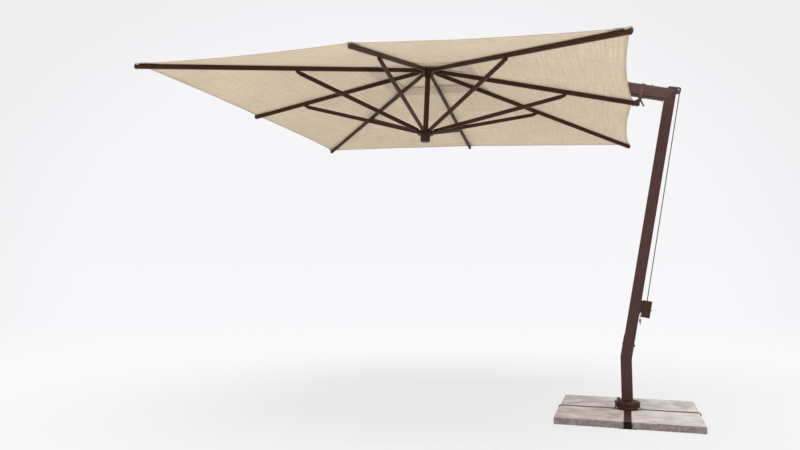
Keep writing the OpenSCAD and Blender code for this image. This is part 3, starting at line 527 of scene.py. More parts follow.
# ---------------------------------------------------------------- mesh helpers
def make(name, verts, faces, material, weave=None, attributes=None, normals=None):
    """A smooth-shaded object. weave holds (x, y) pairs, attributes one list per name."""
    mesh = bpy.data.meshes.new(name)
    mesh.from_pydata([tuple(v) for v in verts], [], faces)
    mesh.update()
    if weave is not None:
        layer = mesh.attributes.new("weave", "FLOAT_VECTOR", "POINT")
        layer.data.foreach_set("vector", [c for x, y in weave for c in (x, y, 0.0)])
    for key, values in (attributes or {}).items():
        layer = mesh.attributes.new(key, "FLOAT", "POINT")
        layer.data.foreach_set("value", values)
    mesh.shade_smooth()
    if normals is not None:
        mesh.normals_split_custom_set_from_vertices([tuple(n) for n in normals])
    mesh.materials.append(material)
    piece = bpy.data.objects.new(name, mesh)
    bpy.context.scene.collection.objects.link(piece)
    return piece


def register(piece, body, replaces=None):
    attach(piece, body)
    if replaces:
        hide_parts(replaces)


def align_normals(piece, upward=False):
    """Makes the face normals consistent, and upward if asked."""
    bm = bmesh.new()
    bm.from_mesh(piece.data)
    bmesh.ops.recalc_face_normals(bm, faces=bm.faces)
    if upward and bm.faces[0].normal.z < 0:
        bmesh.ops.reverse_faces(bm, faces=bm.faces)
    bm.to_mesh(piece.data)
    bm.free()


def grid_faces(rows, cols, base=0, flip=False, wrap=False, closed=False):
    """Quads over rows of vertices; wrap joins each row's ends, closed the last row to the first."""
    faces = []
    for i in range(rows if closed else rows - 1):
        for j in range(cols if wrap else cols - 1):
            here, beside = i * cols, (j + 1) % cols
            after = (i + 1) % rows * cols
            quad = (here + j, here + beside, after + beside, after + j)
            if flip:
                quad = (quad[0], quad[3], quad[2], quad[1])
            faces.append(tuple(base + v for v in quad))
    return faces


def end_caps(rows, cols):
    last = (rows - 1) * cols
    return [tuple(range(cols))[::-1], tuple(range(last, last + cols))]


def perlin(x, y, z):
    return noise.noise(Vector((x, y, z)))


def smooth01(t):
    t = min(max(t, 0.0), 1.0)
    return t * t * (3 - 2 * t)


# ---------------------------------------------------------------- canopy and vent cap
# Cloth is laid out in the octant x >= y >= 0 of the hub plane: a middle rib lies along y = 0
# and a corner rib along x = y.
# half: edge at the corner ribs; reach: how much further out it is at the middle ribs;
# bow: how far the edge pulls in between; lift: height over the canopy's cloth;
# sag: between ribs; rows and columns: mesh of half a gore; hem: hem width;
# hem_drop: scale on the depth of the turned-under hem; keep: share kept when folded
Sheet = namedtuple("Sheet", "name half reach bow lift sag rows columns hem hem_drop keep")
CANOPY = Sheet("canopy", half=1.743, reach=0.025, bow=0.036, lift=0.0, sag=0.017,
               rows=20, columns=58, hem=0.0165, hem_drop=1.0, keep=0.20)
VENT_CAP = Sheet("vent_cap", half=0.478, reach=0.0, bow=0.008, lift=0.0112, sag=0.006,
                 rows=10, columns=26, hem=0.0155, hem_drop=0.8, keep=0.30)
TAN_22 = math.tan(math.pi / 8)
SEAM_OFFSETS = (0.0, 0.0035, 0.0078, 0.0095, 0.013)    # rows close beside the rib line
SEAM_HALF = 0.0080       # half width of the raised seam


def hub_point(x, y, z):
    return HUB_M @ Vector((x, y, z))


def rib_angle(rib):
    return math.radians(45 * (rib - 1))


def rib_octants(rib):
    """The octants before and after a rib."""
    return (rib - 2) % 8, (rib - 1) % 8


def octant_to_hub(x, y, octant):
    if octant % 2:
        octant += 1
        y = -y
    a = math.radians(45 * octant)
    return x * math.cos(a) - y * math.sin(a), x * math.sin(a) + y * math.cos(a)


def fold_with_rib(piece):
    """Gives a piece its own copy of its mesh."""
    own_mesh(piece)


def tip_fold(gap_x, gap_y, waves, phase, fade):
    """Folds that fan out from a tip and die away from it."""
    angle = math.atan2(gap_y, gap_x + 1e-6)
    return math.sin(angle * waves + phase) * math.exp(-math.hypot(gap_x, gap_y) / fade)


def sheet_z(x, y, octant, sheet):
    """Height of the cloth: tight over the ribs, with sag and shallow folds between them."""
    z = CLOTH_TOP + (x - y) / RIB_HALF * (CLOTH_MIDDLE - CLOTH_TOP)
    z += y / RIB_HALF * (CLOTH_CORNER - CLOTH_TOP) + sheet.lift
    size = x / CANOPY.half
    belly = math.sin(math.pi * min(max(y / max(x, 1e-6), 0.0), 1.0))
    z -= sheet.sag * belly * size ** 0.7 * (1 - 0.30 * smooth01((size - 0.75) / 0.25))
    shift = octant * 5.3     # gives each octant its own folds
    if sheet is VENT_CAP:
        return z + 0.0018 * belly * perlin(x * 9 + shift, y * 9, 2.2)
    gap_x, gap_y = CANOPY.half - x, CANOPY.half - y
    corner_phase = shift + 2.2 * perlin(x * 2, y * 2, shift)
    z += 0.0022 * belly * tip_fold(gap_x, gap_y, waves=26, phase=corner_phase, fade=0.55)
    middle_phase = shift * 1.3 + 2.0 * perlin(x * 2.3, y * 2.3, shift + 4)
    z += 0.0018 * belly * tip_fold(gap_x, y, waves=19, phase=middle_phase, fade=0.45)
    z += 0.0026 * belly * perlin(x * 3.1 + shift, y * 1.6, 1.7)
    z += 0.0012 * belly * perlin(x * 11 + shift, y * 5, 5.1)
    return z


def edge_x(y, sheet):
    """Outer edge of a sheet."""
    t = y / sheet.half
    return sheet.half + sheet.reach * (1 - t) - sheet.bow * 4 * t * (1 - t)


def edge_y_at(gap, sheet):
    """The y on the outer edge where x - y = gap, by bisection."""
    low, high = 0.0, sheet.half
    for _ in range(50):
        y = 0.5 * (low + high)
        if edge_x(y, sheet) - y > gap:
            low = y
        else:
            high = y
    return 0.5 * (low + high)


def gore_rows(middle, sheet):
    """Ends (inner, outer) of the rows of half a gore, from its rib to midway to the next."""
    y_end = sheet.half * TAN_22
    x_end = edge_x(y_end, sheet)
    last = SEAM_OFFSETS[-1]
    steps = [(0.0, offset) for offset in SEAM_OFFSETS]
    steps += [((i + 1) / sheet.rows, last) for i in range(sheet.rows)]
    rows = []
    for share, offset in steps:
        if middle:
            y = offset + share * (y_end - offset)
            inner = (VENT_HALF, offset + share * (VENT_HALF * TAN_22 - offset))
        else:
            gap = math.sqrt(2) * offset
            y = edge_y_at(gap + share * (x_end - y_end - gap), sheet)
            inner = (VENT_HALF, VENT_HALF - gap - share * (VENT_HALF * (1 - TAN_22) - gap))
        if sheet is VENT_CAP:
            start = math.asin(offset / CAP_HOLE_R)
            angle = start + share * (math.pi / 8 - start)
            if not middle:
                angle = math.pi / 4 - angle
            inner = (CAP_HOLE_R * math.cos(angle), CAP_HOLE_R * math.sin(angle))
        rows.append((inner, (edge_x(y, sheet), y)))
    return rows


def build_gore(rib, sheet):
    """The gore centred on a rib, with a raised seam over the rib and its hem turned under."""
    middle = rib % 2 == 1
    hem = sheet.hem
    top_edge = [hem + 0.003, hem, hem - 0.0015, hem * 0.5, 0.005, 0.0025, 0.0]
    under_edge = [-0.0009, 0.0030, hem * 0.55, hem - 0.0005]
    drops = [0.0] * (sheet.columns + len(top_edge))
    drops += [depth * sheet.hem_drop for depth in (0.0016, 0.0030, 0.0026, 0.0016)]
    fold = sheet.columns + len(top_edge)      # the column on the rounded fold of the hem
    verts, normals, weave = [], [], []
    marks = {"hem": [], "seam": [], "run": []}

    def row_shares(inner, span_x, span_y):
        """Places of the columns along a row, as shares of its length."""
        x, y = inner[0] + 0.98 * span_x, inner[1] + 0.98 * span_y
        gap = max(edge_x(y, sheet) - x, 1e-6)
        edge = [1 - 0.02 * distance / gap for distance in top_edge + under_edge]
        return [j / sheet.columns * edge[0] for j in range(sheet.columns)] + edge

    def add_vertex(octant, x, y, j):
        safe_x = max(x, 1e-5)
        safe_y = min(max(y, 0.0), x)
        step = 1e-4
        z = sheet_z(safe_x, safe_y, octant, sheet)
        z_x = sheet_z(safe_x + step, safe_y, octant, sheet)
        z_xy = sheet_z(safe_x + step, safe_y + step, octant, sheet)
        from_rib = y if middle else (x - y) / math.sqrt(2)
        from_edge = max(edge_x(min(max(y, 0), sheet.half), sheet) - x, 0.0)
        seam_rise = 0.0009 * (1 - smooth01((from_rib - SEAM_HALF) / 0.0016))
        hem_rise = 0.0007 * (1 - smooth01((from_edge - hem) / 0.0015))
        hub_x, hub_y = octant_to_hub(x, y, octant)
        verts.append(hub_point(hub_x, hub_y, z + max(seam_rise, hem_rise) - drops[j]))

        slope = octant_to_hub((z - z_x) / step, (z_x - z_xy) / step, octant)
        normal = Vector((*slope, 1.0)).normalized()
        outward = Vector((*octant_to_hub(1.0, 0.0, octant), 0.0))
        if j == fold:
            normal = outward
        elif j == fold - 1:
            normal = (normal + 0.7 * outward).normalized()
        elif j > fold:
            normal = -normal
        normals.append(HUB_R @ normal)
        weave.append(((-y if octant % 2 else y) + octant * 3.7, x + octant * 1.9))
        marks["hem"].append(from_edge)
        marks["seam"].append(abs(from_rib))
        marks["run"].append(y if from_edge <= 0.03 and abs(from_rib) > 0.012 else x)
        return len(verts) - 1

    sides = []
    for octant in rib_octants(rib):
        # Both halves share the row over the rib
        grid = [sides[0][0]] if sides else []
        for inner, outer in gore_rows(middle, sheet)[len(grid):]:
            span_x, span_y = outer[0] - inner[0], outer[1] - inner[1]
            shares = row_shares(inner, span_x, span_y)
            grid.append([add_vertex(octant, inner[0] + g * span_x, inner[1] + g * span_y, j)
                         for j, g in enumerate(shares)])
        sides.append(grid)

    faces = []
    for grid in sides:
        for row, after in zip(grid, grid[1:]):
            for j in range(len(row) - 1):
                quad = (row[j], row[j + 1], after[j + 1], after[j])
                corners = [verts[v] for v in quad]
                facing = (corners[1] - corners[0]).cross(corners[3] - corners[0])
                wanted = sum((normals[v] for v in quad), Vector())
                faces.append(quad if facing.dot(wanted) > 0 else quad[::-1])
    gore = make("%s_gore_%d" % (sheet.name, rib), verts, faces, CLOTH, weave, marks, normals)
    register(gore, "rib_arm_%d" % rib, replaces=sheet.name)
    fold_with_rib(gore)


for rib_number in range(1, 9):
    build_gore(rib_number, CANOPY)
    build_gore(rib_number, VENT_CAP)


# ---------------------------------------------------------------- pockets at the rib tips
# (distance in from the tip, dip below the cloth) of the tongue that wraps over the tip
TONGUE = [(-0.0064, 0.0090), (-0.0070, 0.0052), (-0.0062, 0.0018), (-0.0040, 0.0003),
          (-0.0015, 0.0)]
POCKET_COLS = 21
POCKET_ROUND = 0.04      # length of the rounded inner end
MIDDLE_TONGUE_HALF = 0.0135
CORNER_TONGUE_HALF = 0.0190


def pocket_half_width(inward, middle, length):
    if inward < 0:
        return MIDDLE_TONGUE_HALF if middle else CORNER_TONGUE_HALF
    half = 0.043 if middle else max(CORNER_TONGUE_HALF, min(0.011 + inward * 0.93, 0.068))
    share = (inward - (length - POCKET_ROUND)) / POCKET_ROUND
    if share > 0:
        half *= math.sqrt(max(1 - share * share * 0.72, 0.05))
    if middle and inward < 0.012:
        half += (MIDDLE_TONGUE_HALF - half) * (1 - inward / 0.012)
    return half


def build_pocket(rib):
    """A doubled patch over the end of a rib, with a tongue that wraps over the tip."""
    middle = rib % 2 == 1
    length = 0.118 if middle else 0.150
    a = rib_angle(rib)
    tip_r = CANOPY.half + CANOPY.reach if middle else CANOPY.half * math.sqrt(2)
    tip = (tip_r, 0.0) if middle else (CANOPY.half, CANOPY.half)
    slope = MIDDLE_SLOPE if middle else CORNER_SLOPE
    stations = TONGUE + [(length * i / 27.0 + 0.001, 0.0) for i in range(28)]
    verts, weave = [], []
    marks = {"hem": [], "seam": [], "run": []}

    def add_vertex(inward, dip, side, upper):
        """side runs from -1 to 1 across the pocket."""
        half = pocket_half_width(inward, middle, length)
        across = side * half
        r, off = tip_r - inward, abs(across)
        x, y = (r, off) if middle else ((r + off) / math.sqrt(2), (r - off) / math.sqrt(2))
        octant = rib_octants(rib)[across >= 0]
        if inward < 0:
            z = sheet_z(*tip, octant, CANOPY) + inward * slope
        else:
            z = sheet_z(x, min(y, x), octant, CANOPY)
        z += 0.0009 - dip
        # Thickest over the tip; at the corners it drapes down both sides
        near_tip = 1 - smooth01(inward / (0.060 if middle else 0.075))
        z += 0.0035 * near_tip * (1 - side * side)
        if not middle:
            z -= 1.45 * max(0.0, off - 0.0120) * (1 - smooth01((inward - 0.008) / 0.020))
        edge = min((1 - abs(side)) * half, length - inward if inward > 0 else 0.02)
        if upper:
            z += 0.0006 + 0.0019 * smooth01(edge / 0.004)
            z += 0.0012 * smooth01(edge / 0.012) * max(0.0, 1 - inward / 0.1)
        else:
            z += 0.0001 if inward >= 0 else -0.0006
        verts.append(hub_point(r * math.cos(a) - across * math.sin(a),
                               r * math.sin(a) + across * math.cos(a), z))
        weave.append((across + rib * 0.9, inward + rib * 0.3))
        marks["hem"].append(max(edge, 0.0) + 0.0018)
        marks["seam"].append(0.05)
        marks["run"].append(inward + off)

    for upper in (True, False):
        for inward, dip in stations:
            for j in range(POCKET_COLS):
                add_vertex(inward, dip, -1 + 2 * j / (POCKET_COLS - 1), upper)

    rows, cols = len(stations), POCKET_COLS
    layer = rows * cols
    faces = grid_faces(rows, cols) + grid_faces(rows, cols, base=layer, flip=True)
    rim = list(range(cols))
    rim += [i * cols + cols - 1 for i in range(1, rows)]
    rim += [(rows - 1) * cols + j for j in range(cols - 2, -1, -1)]
    rim += [i * cols for i in range(rows - 2, 0, -1)]
    faces += [(v, layer + v, layer + w, w) for v, w in zip(rim, rim[1:] + rim[:1])]
    pocket = make("pocket_%d" % rib, verts, faces, PATCH, weave, marks)
    align_normals(pocket)
    register(pocket, "rib_arm_%d" % rib)
    fold_with_rib(pocket)


for rib_number in range(1, 9):
    build_pocket(rib_number)


# ---------------------------------------------------------------- collar on the vent cap
# Closed section of the collar: (radius, height over the hub plane)
COLLAR_PROFILE = (
    (0.0334, 0.0152), (0.0334, 0.0235), (0.0360, 0.0300), (0.0395, 0.0420), (0.0410, 0.0510),
    (0.0440, 0.0526), (0.0490, 0.0522), (0.0510, 0.0510), (0.0620, 0.0494), (0.0740, 0.0476),
    (0.0840, 0.0458), (0.0880, 0.0454), (0.0898, 0.0440), (0.0890, 0.0426), (0.0840, 0.0432),
    (0.0700, 0.0454), (0.0500, 0.0484), (0.0440, 0.0470), (0.0412, 0.0415), (0.0372, 0.0292),
    (0.0346, 0.0232), (0.0346, 0.0152))
COLLAR_R = max(r for r, _ in COLLAR_PROFILE)
COLLAR_SEAM_R = 0.0410


def build_collar():
    """Cloth collar round the hub post, over the inner ends of the vent cap's gores."""
    cols = 96
    verts, weave = [], []
    marks = {"hem": [], "seam": [], "run": []}
    for r, height in COLLAR_PROFILE:
        for j in range(cols):
            a = 2 * math.pi * j / cols
            x, y = r * math.cos(a), r * math.sin(a)
            ripple = 0.0009 * math.cos(8 * a) * smooth01((r - 0.05) / 0.03)
            verts.append(hub_point(x, y, height + ripple))
            weave.append((x, y))
            marks["hem"].append(COLLAR_R - r)
            marks["seam"].append(abs(r - COLLAR_SEAM_R) if r < 0.055 else 0.05)
            marks["run"].append(a * r)
    faces = grid_faces(len(COLLAR_PROFILE), cols, wrap=True, closed=True)
    collar = make("vent_collar", verts, faces, PATCH, weave, marks)
    align_normals(collar)
    register(collar, "canopy_hub")


build_collar()


# ---------------------------------------------------------------- concrete slabs
SLAB_HALF = 0.250
SLAB_CENTRE = 0.275      # slab centres from the base's axis, along x and y
SLAB_CORNER_R = 0.013    # plan corners
SLAB_EDGE_R = 0.0055     # top edge, before it is made uneven


def slab_cuts(half, step, fine):
    """Grid lines from -half to half, denser within fine of both ends."""
    ends = [-half, -half + fine * 0.35, -half + fine * 0.7]
    inner = 2 * half - 2 * fine
    count = round(inner / step)
    return (ends + [-half + fine + inner * i / count for i in range(count + 1)]
            + [-cut for cut in reversed(ends)])


def build_slab(name, centre_x, centre_y):
    low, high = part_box("slabs")
    half, half_z = SLAB_HALF, (high.z - low.z) / 2
    centre_z = (low.z + high.z) / 2
    flat = half - SLAB_CORNER_R

    def cast_point(box_x, box_y, box_z):
        """Rounds and roughens a point of the box, always inwards; gives it and its 'side'."""
        x = max(-flat, min(flat, box_x))
        y = max(-flat, min(flat, box_y))
        out_x, out_y = box_x - x, box_y - y
        z = box_z
        reach = max(abs(out_x), abs(out_y))
        if reach > 0:
            distance = math.hypot(out_x, out_y)
            out_x, out_y = out_x / distance, out_y / distance
        x += out_x * reach
        y += out_y * reach
        wall = SLAB_CORNER_R - reach      # depth from the side, true near the sides
        top = half_z - box_z
        # Top edge rounding, uneven along the edge
        uneven = 0.65 + 0.9 * (perlin(centre_x * 3 + x * 16, centre_y * 3 + y * 16, 3.3) + 0.35)
        uneven += 0.25 * perlin(x * 60, y * 60, 8.8)
        edge = SLAB_EDGE_R * max(0.45, min(uneven, 1.9))
        if top < edge and wall < edge:
            out, up = edge - wall, edge - top
            shrink = max(out, up) / math.hypot(out, up)
            z = half_z - edge + up * shrink
            cut = edge - out * shrink - wall
            x -= out_x * cut
            y -= out_y * cut
        # Rough sides, but a clean bottom edge
        grain = sum(weight * perlin(centre_x + x * rate, centre_y + y * rate, box_z * rate)
                    for rate, weight in ((22, 0.5), (70, 0.3), (190, 0.2)))
        push = 0.0016 * max(0.0, 1 - wall / 0.004) * (grain + 0.55)
        if push > 0 and box_z + half_z >= 0.002:
            x -= out_x * push
            y -= out_y * push
        if top < 1e-6:
            z -= 0.0007 * (0.5 + 0.6 * perlin(centre_x + x * 9, centre_y + y * 9, 0.4))
            z -= 0.0003 * max(0, perlin(x * 120, y * 120, 1.0))
        # 'side' also selects the sides' darker colour, which is partly painted shade.
        side = smooth01(1 - wall / 0.006) * (1.0 if top > 0.0012 else 0.55)
        return (centre_x + x, centre_y + y, centre_z + z), side

    verts, sides, faces, index = [], [], [], {}

    def vertex(x, y, z):
        key = (round(x, 5), round(y, 5), round(z, 5))
        if key not in index:
            point, side = cast_point(x, y, z)
            index[key] = len(verts)
            verts.append(point)
            sides.append(side)
        return index[key]

    def quad(*corners):
        faces.append(tuple(vertex(*corner) for corner in corners))

    plan_cuts = slab_cuts(half, step=0.010, fine=0.014)
    height_cuts = slab_cuts(half_z, step=0.005, fine=0.007)
    plan_spans = list(zip(plan_cuts, plan_cuts[1:]))
    for x, x2 in plan_spans:
        for y, y2 in plan_spans:
            quad((x, y, half_z), (x2, y, half_z), (x2, y2, half_z), (x, y2, half_z))
    for x, x2 in plan_spans:
        for y, y2 in plan_spans:
            quad((x, y, -half_z), (x, y2, -half_z), (x2, y2, -half_z), (x2, y, -half_z))
    for a, b in plan_spans:
        for z, z2 in zip(height_cuts, height_cuts[1:]):
            quad((a, -half, z), (b, -half, z), (b, -half, z2), (a, -half, z2))
            quad((b, half, z), (a, half, z), (a, half, z2), (b, half, z2))
            quad((-half, b, z), (-half, a, z), (-half, a, z2), (-half, b, z2))
            quad((half, a, z), (half, b, z), (half, b, z2), (half, a, z2))
    slab = make(name, verts, faces, CONCRETE, attributes={"side": sides})
    register(slab, "base", replaces="slabs")


for number, (sign_x, sign_y) in enumerate(((-1, -1), (1, -1), (-1, 1), (1, 1)), start=1):
    build_slab("ballast_slab_%d" % number, sign_x * SLAB_CENTRE, sign_y * SLAB_CENTRE)


# ---------------------------------------------------------------- hoist rope
def build_cord(name, path, radius, material, sides, pitch, depth, replaces=None):
    """A cord of three strands along a path: the strands are lobes that turn with the length."""
    verts, weave = [], []
    length = 0.0
    for i, point in enumerate(path):
        if i:
            length += (point - path[i - 1]).length
        along = (path[min(i + 1, len(path) - 1)] - path[max(i - 1, 0)]).normalized()
        across = Vector((0, 1, 0))
        across = (across - along * across.dot(along)).normalized()
        third = along.cross(across)
        for j in range(sides):
            a = 2 * math.pi * j / sides
            turn = a - 2 * math.pi * length / pitch
            r = radius * (1 - depth * (1 - abs(math.cos(1.5 * turn))))
            verts.append(point + across * (r * math.cos(a)) + third * (r * math.sin(a)))
            weave.append((turn, length))
    faces = grid_faces(len(path), sides, wrap=True) + end_caps(len(path), sides)
    register(make(name, verts, faces, material, weave), "mast_assembly", replaces)


def line(start, end, step):
    """Points from start towards end, without the end."""
    count = max(2, int((end - start).length / step))
    return [start.lerp(end, i / count) for i in range(count)]


PULLEY = MAST_TOP + Vector((0.062, 0, 0.034))
PULLEY_R = 0.0125        # to the rope's centre line
PULLEY_TURNS = 24        # steps round the pulley
ROPE_LOW = MAST_FOOT + 0.0835 * MAST_OUT + 0.425 * MAST_UP + Vector((0, -0.017, 0))
LEAVE_ANGLE = math.radians(102 - BOOM_RISE_DEG)    # where the rope leaves the pulley
ROPE_IN_BOOM = 0.9


def build_hoist_rope():
    """Up the outside of the mast, over the pulley and along inside the boom."""
    leave = PULLEY + PULLEY_R * Vector((math.cos(LEAVE_ANGLE), 0, math.sin(LEAVE_ANGLE)))
    enter = leave + 0.110 * Vector((-math.sin(LEAVE_ANGLE), 0, math.cos(LEAVE_ANGLE)))
    end = enter + ROPE_IN_BOOM * BOOM_DIR
    path = line(ROPE_LOW, PULLEY + PULLEY_R * MAST_OUT, step=0.0028)
    for i in range(PULLEY_TURNS):
        a = -MAST_LEAN + (LEAVE_ANGLE + MAST_LEAN) * i / PULLEY_TURNS
        path.append(PULLEY + PULLEY_R * Vector((math.cos(a), 0, math.sin(a))))
    path += line(leave, enter, step=0.01) + line(enter, end, step=0.05) + [end]
    build_cord("hoist_rope", path, radius=0.0040, material=ROPE, sides=12, pitch=0.026,
               depth=0.17, replaces="lift_rope")


build_hoist_rope()


# ---------------------------------------------------------------- toggle and its cords
TOGGLE_TOP = MAST_FOOT + 0.0444 * MAST_OUT + 0.385 * MAST_UP
# Turned outline from the bottom up: (radius, height from the top of the cords)
TOGGLE_PROFILE = (
    (0.0005, -0.1000), (0.0018, -0.0995), (0.0026, -0.0975), (0.0029, -0.0920),
    (0.0034, -0.0870), (0.0052, -0.0815), (0.0074, -0.0755), (0.0087, -0.0700),
    (0.0091, -0.0665), (0.0087, -0.0660), (0.0087, -0.0652), (0.0091, -0.0647),
    (0.0086, -0.0605), (0.0073, -0.0565), (0.0056, -0.0535), (0.0040, -0.0515),
    (0.0028, -0.0510), (0.0023, -0.0518))


def build_toggle():
    cols = 40
    angles = [2 * math.pi * j / cols for j in range(cols)]
    verts = [TOGGLE_TOP + Vector((r * math.cos(a), r * math.sin(a), z))
             for r, z in TOGGLE_PROFILE for a in angles]
    faces = grid_faces(len(TOGGLE_PROFILE), cols, wrap=True)
    bead = make("toggle_bead", verts, faces, WOOD)
    register(bead, "mast_assembly", replaces="rope_toggle")


def build_toggle_cord(number, side):
    path = []
    for i in range(31):
        t = i / 30
        path.append(TOGGLE_TOP + Vector((side * (0.0013 + 0.0004 * math.sin(t * 3.0)),
                                         0.0005 * math.sin(t * 5.0 + number - 1),
                                         -0.0545 + 0.0540 * t)))
    build_cord("toggle_cord_%d" % number, path, radius=0.0013, material=LIGHT_CORD, sides=9,
               pitch=0.006, depth=0.2)


build_toggle()
build_toggle_cord(1, side=-1)
build_toggle_cord(2, side=1)


# ---------------------------------------------------------------- tie strap round the boom
# Half section of the tape: (place across, -1 to 1; share of the half thickness)
TAPE_PROFILE = ((-1.0, 0.55), (-0.93, 1.0), (-0.80, 0.86), (-0.4, 0.80), (0.0, 0.80),
                (0.4, 0.80), (0.80, 0.86), (0.93, 1.0), (1.0, 0.55))
TAPE_SECTION = TAPE_PROFILE + tuple((place, -bulk) for place, bulk in reversed(TAPE_PROFILE))
STRAP_ALONG = 0.220      # strap from the mast top, along the boom
BOOM_HALF_HEIGHT = 0.053     # rail included
STRAP_HALF_HEIGHT = BOOM_HALF_HEIGHT + 0.0030
STRAP_HALF_WIDTH = 0.0315
STRAP_CORNER_R = 0.0085


def build_tape(name, path, widths, thick, across=BOOM_DIR, closed=False, replaces=None):
    """A flat woven band along a path, thicker near both edges; widths has one per point."""
    count, ring = len(path), len(TAPE_SECTION)
    verts, weave = [], []
    length = 0.0
    for i, (point, width) in enumerate(zip(path, widths)):
        if closed:
            before, after = path[i - 1], path[(i + 1) % count]
        else:
            before, after = path[max(i - 1, 0)], path[min(i + 1, count - 1)]
        if i:
            length += (point - path[i - 1]).length
        along = (after - before).normalized()
        flat = (across - along * across.dot(along)).normalized()
        face = along.cross(flat)
        for place, bulk in TAPE_SECTION:
            offset = place * width / 2
            verts.append(point + flat * offset + face * (thick / 2 * bulk))
            weave.append((offset, length))
    faces = grid_faces(count, ring, wrap=True, closed=closed)
    if not closed:
        faces += end_caps(count, ring)
    band = make(name, verts, faces, TAPE, weave)
    align_normals(band)
    register(band, "mast_assembly", replaces)


def boom_point(along, y, up):
    return MAST_TOP + along * BOOM_DIR + Vector((0, y, 0)) + up * BOOM_UP


PINCH = boom_point(STRAP_ALONG, 0.0, -STRAP_HALF_HEIGHT - 0.002) + Vector((0.0, 0, -0.017))


def build_strap_loop():
    """The closed loop round the boom, a rounded rectangle."""
    outline = []
    for quarter, (side, up) in enumerate(((1, 1), (-1, 1), (-1, -1), (1, -1))):
        for i in range(7):
            a = math.radians(90 * quarter + 15 * i)
            outline.append((side * (STRAP_HALF_WIDTH - STRAP_CORNER_R)
                            + STRAP_CORNER_R * math.cos(a),
                            up * (STRAP_HALF_HEIGHT - STRAP_CORNER_R)
                            + STRAP_CORNER_R * math.sin(a)))
    dense = []
    for (y, up), (y2, up2) in zip(outline, outline[1:] + outline[:1]):
        count = max(1, int(math.hypot(y2 - y, up2 - up) / 0.006))
        dense += [(y + (y2 - y) * i / count, up + (up2 - up) * i / count)
                  for i in range(count)]
    path = [boom_point(STRAP_ALONG + 0.0016 * math.sin(3.1 * i / 9.0), y, up)
            for i, (y, up) in enumerate(dense)]
    build_tape("strap_loop", path, [0.028] * len(path), thick=0.0026, closed=True,
               replaces="tie_strap")


def build_strap_overlap():
    """A second layer on top of the loop."""
    path = [boom_point(STRAP_ALONG - 0.001 + 0.0008 * math.sin(i), -0.022 + 0.044 * i / 12,
                       STRAP_HALF_HEIGHT + 0.0021) for i in range(13)]
    build_tape("strap_overlap", path, [0.022] * len(path), thick=0.0019)


def build_strap_drop(number, side):
    """One of the two bands from the loop down through the pinch below the boom."""
    knots = [boom_point(STRAP_ALONG, side * 0.0290, -STRAP_HALF_HEIGHT + 0.004),
             boom_point(STRAP_ALONG, side * 0.020, -STRAP_HALF_HEIGHT - 0.0055),
             PINCH + Vector((0, side * 0.0065, 0.001)),
             PINCH + Vector((0, side * 0.0042, -0.006)),
             PINCH + Vector((-0.001, side * 0.0072, -0.016))]
    path = [a.lerp(b, i / 6) for a, b in zip(knots, knots[1:]) for i in range(6)]
    path.append(knots[-1])
    for _ in range(3):     # smoothing
        inner = [(a + 2 * b + c) / 4 for a, b, c in zip(path, path[1:], path[2:])]
        path = [path[0]] + inner + [path[-1]]
    last = len(path) - 1
    widths = [0.0225 * (1 - 0.42 * smooth01(i / last / 0.55)) for i in range(last + 1)]
    build_tape("strap_drop_%d" % number, path, widths, thick=0.0019)


def build_strap_wrap():
    """The narrow band wound round the pinch."""
    path = []
    for i in range(36):
        a = 2 * math.pi * i / 36
        path.append(PINCH + Vector((0.0082 * math.cos(a), 0.0092 * math.sin(a),
                                    -0.0035 + 0.0006 * math.sin(2 * a))))
    build_tape("strap_wrap", path, [0.0085] * len(path), thick=0.0022,
               across=Vector((0, 0, 1)), closed=True)


def build_strap_tail():
    """The loose end that hangs from the pinch."""
    shares = [i / 30 for i in range(31)]
    path = [PINCH + Vector((0.004 + 0.0225 * t ** 1.25, -0.0105 - 0.003 * math.sin(t * 3.2),
                            -0.006 - 0.050 * t + 0.002 * math.sin(t * 6))) for t in shares]
    build_tape("strap_tail", path, [0.0150 - 0.0020 * t for t in shares], thick=0.0018,
               across=Vector((0.90, 0.30, 0.30)))


build_strap_loop()
build_strap_overlap()
build_strap_drop(1, side=-1)
build_strap_drop(2, side=1)
build_strap_wrap()
build_strap_tail()


# ---------------------------------------------------------------- stage: floor, light, camera
STAGE_X = -0.8           # centre of the floor
FLOOR_RINGS = (0.5, 1.0, 1.6, 2.4, 3.4, 4.8, 6.6, 9.0, 12.0, 15.0, 18.0)


def floor_material():
    """Plain diffuse floor that the camera sees brightened, with painted shadow near the parasol,
    and fading into the backdrop.
    """
    mat = new_material("studio_floor")
    to_camera = mat.node("ShaderNodeLightPath").outputs["Is Camera Ray"]
    x, y, _ = mat.split(mat.node("ShaderNodeNewGeometry").outputs["Position"])
    squares = mat.add(mat.math("POWER", mat.add(x, -STAGE_X), 2.0), mat.math("POWER", y, 2.0))
    radius = mat.math("SQRT", squares)
    fade = mat.remap(radius, span=(5.0, 17.0), kind="SMOOTHSTEP")
    far = mat.remap(radius, span=(1.2, 5.5), kind="SMOOTHSTEP")
    diffuse = mat.node("ShaderNodeBsdfDiffuse", {"Color": (0.80, 0.80, 0.81)}).outputs[0]
    # Painted shadow: the glow is darker near the parasol, standing in for the soft shadow round its
    # base.
    tone = mat.mix(far, (0.872, 0.866, 0.876), (0.955, 0.952, 0.966))
    glow = mat.node("ShaderNodeEmission", {"Color": tone}).outputs[0]
    # The glow's share is 0.80 near the parasol and 0.98 far from it
    seen = mat.mix_shader(mat.math("MULTIPLY_ADD", far, 0.18, 0.80), diffuse, glow)
    seen = mat.mix_shader(fade, seen, mat.node("ShaderNodeBsdfTransparent").outputs[0])
    return mat.finish(mat.mix_shader(to_camera, diffuse, seen))


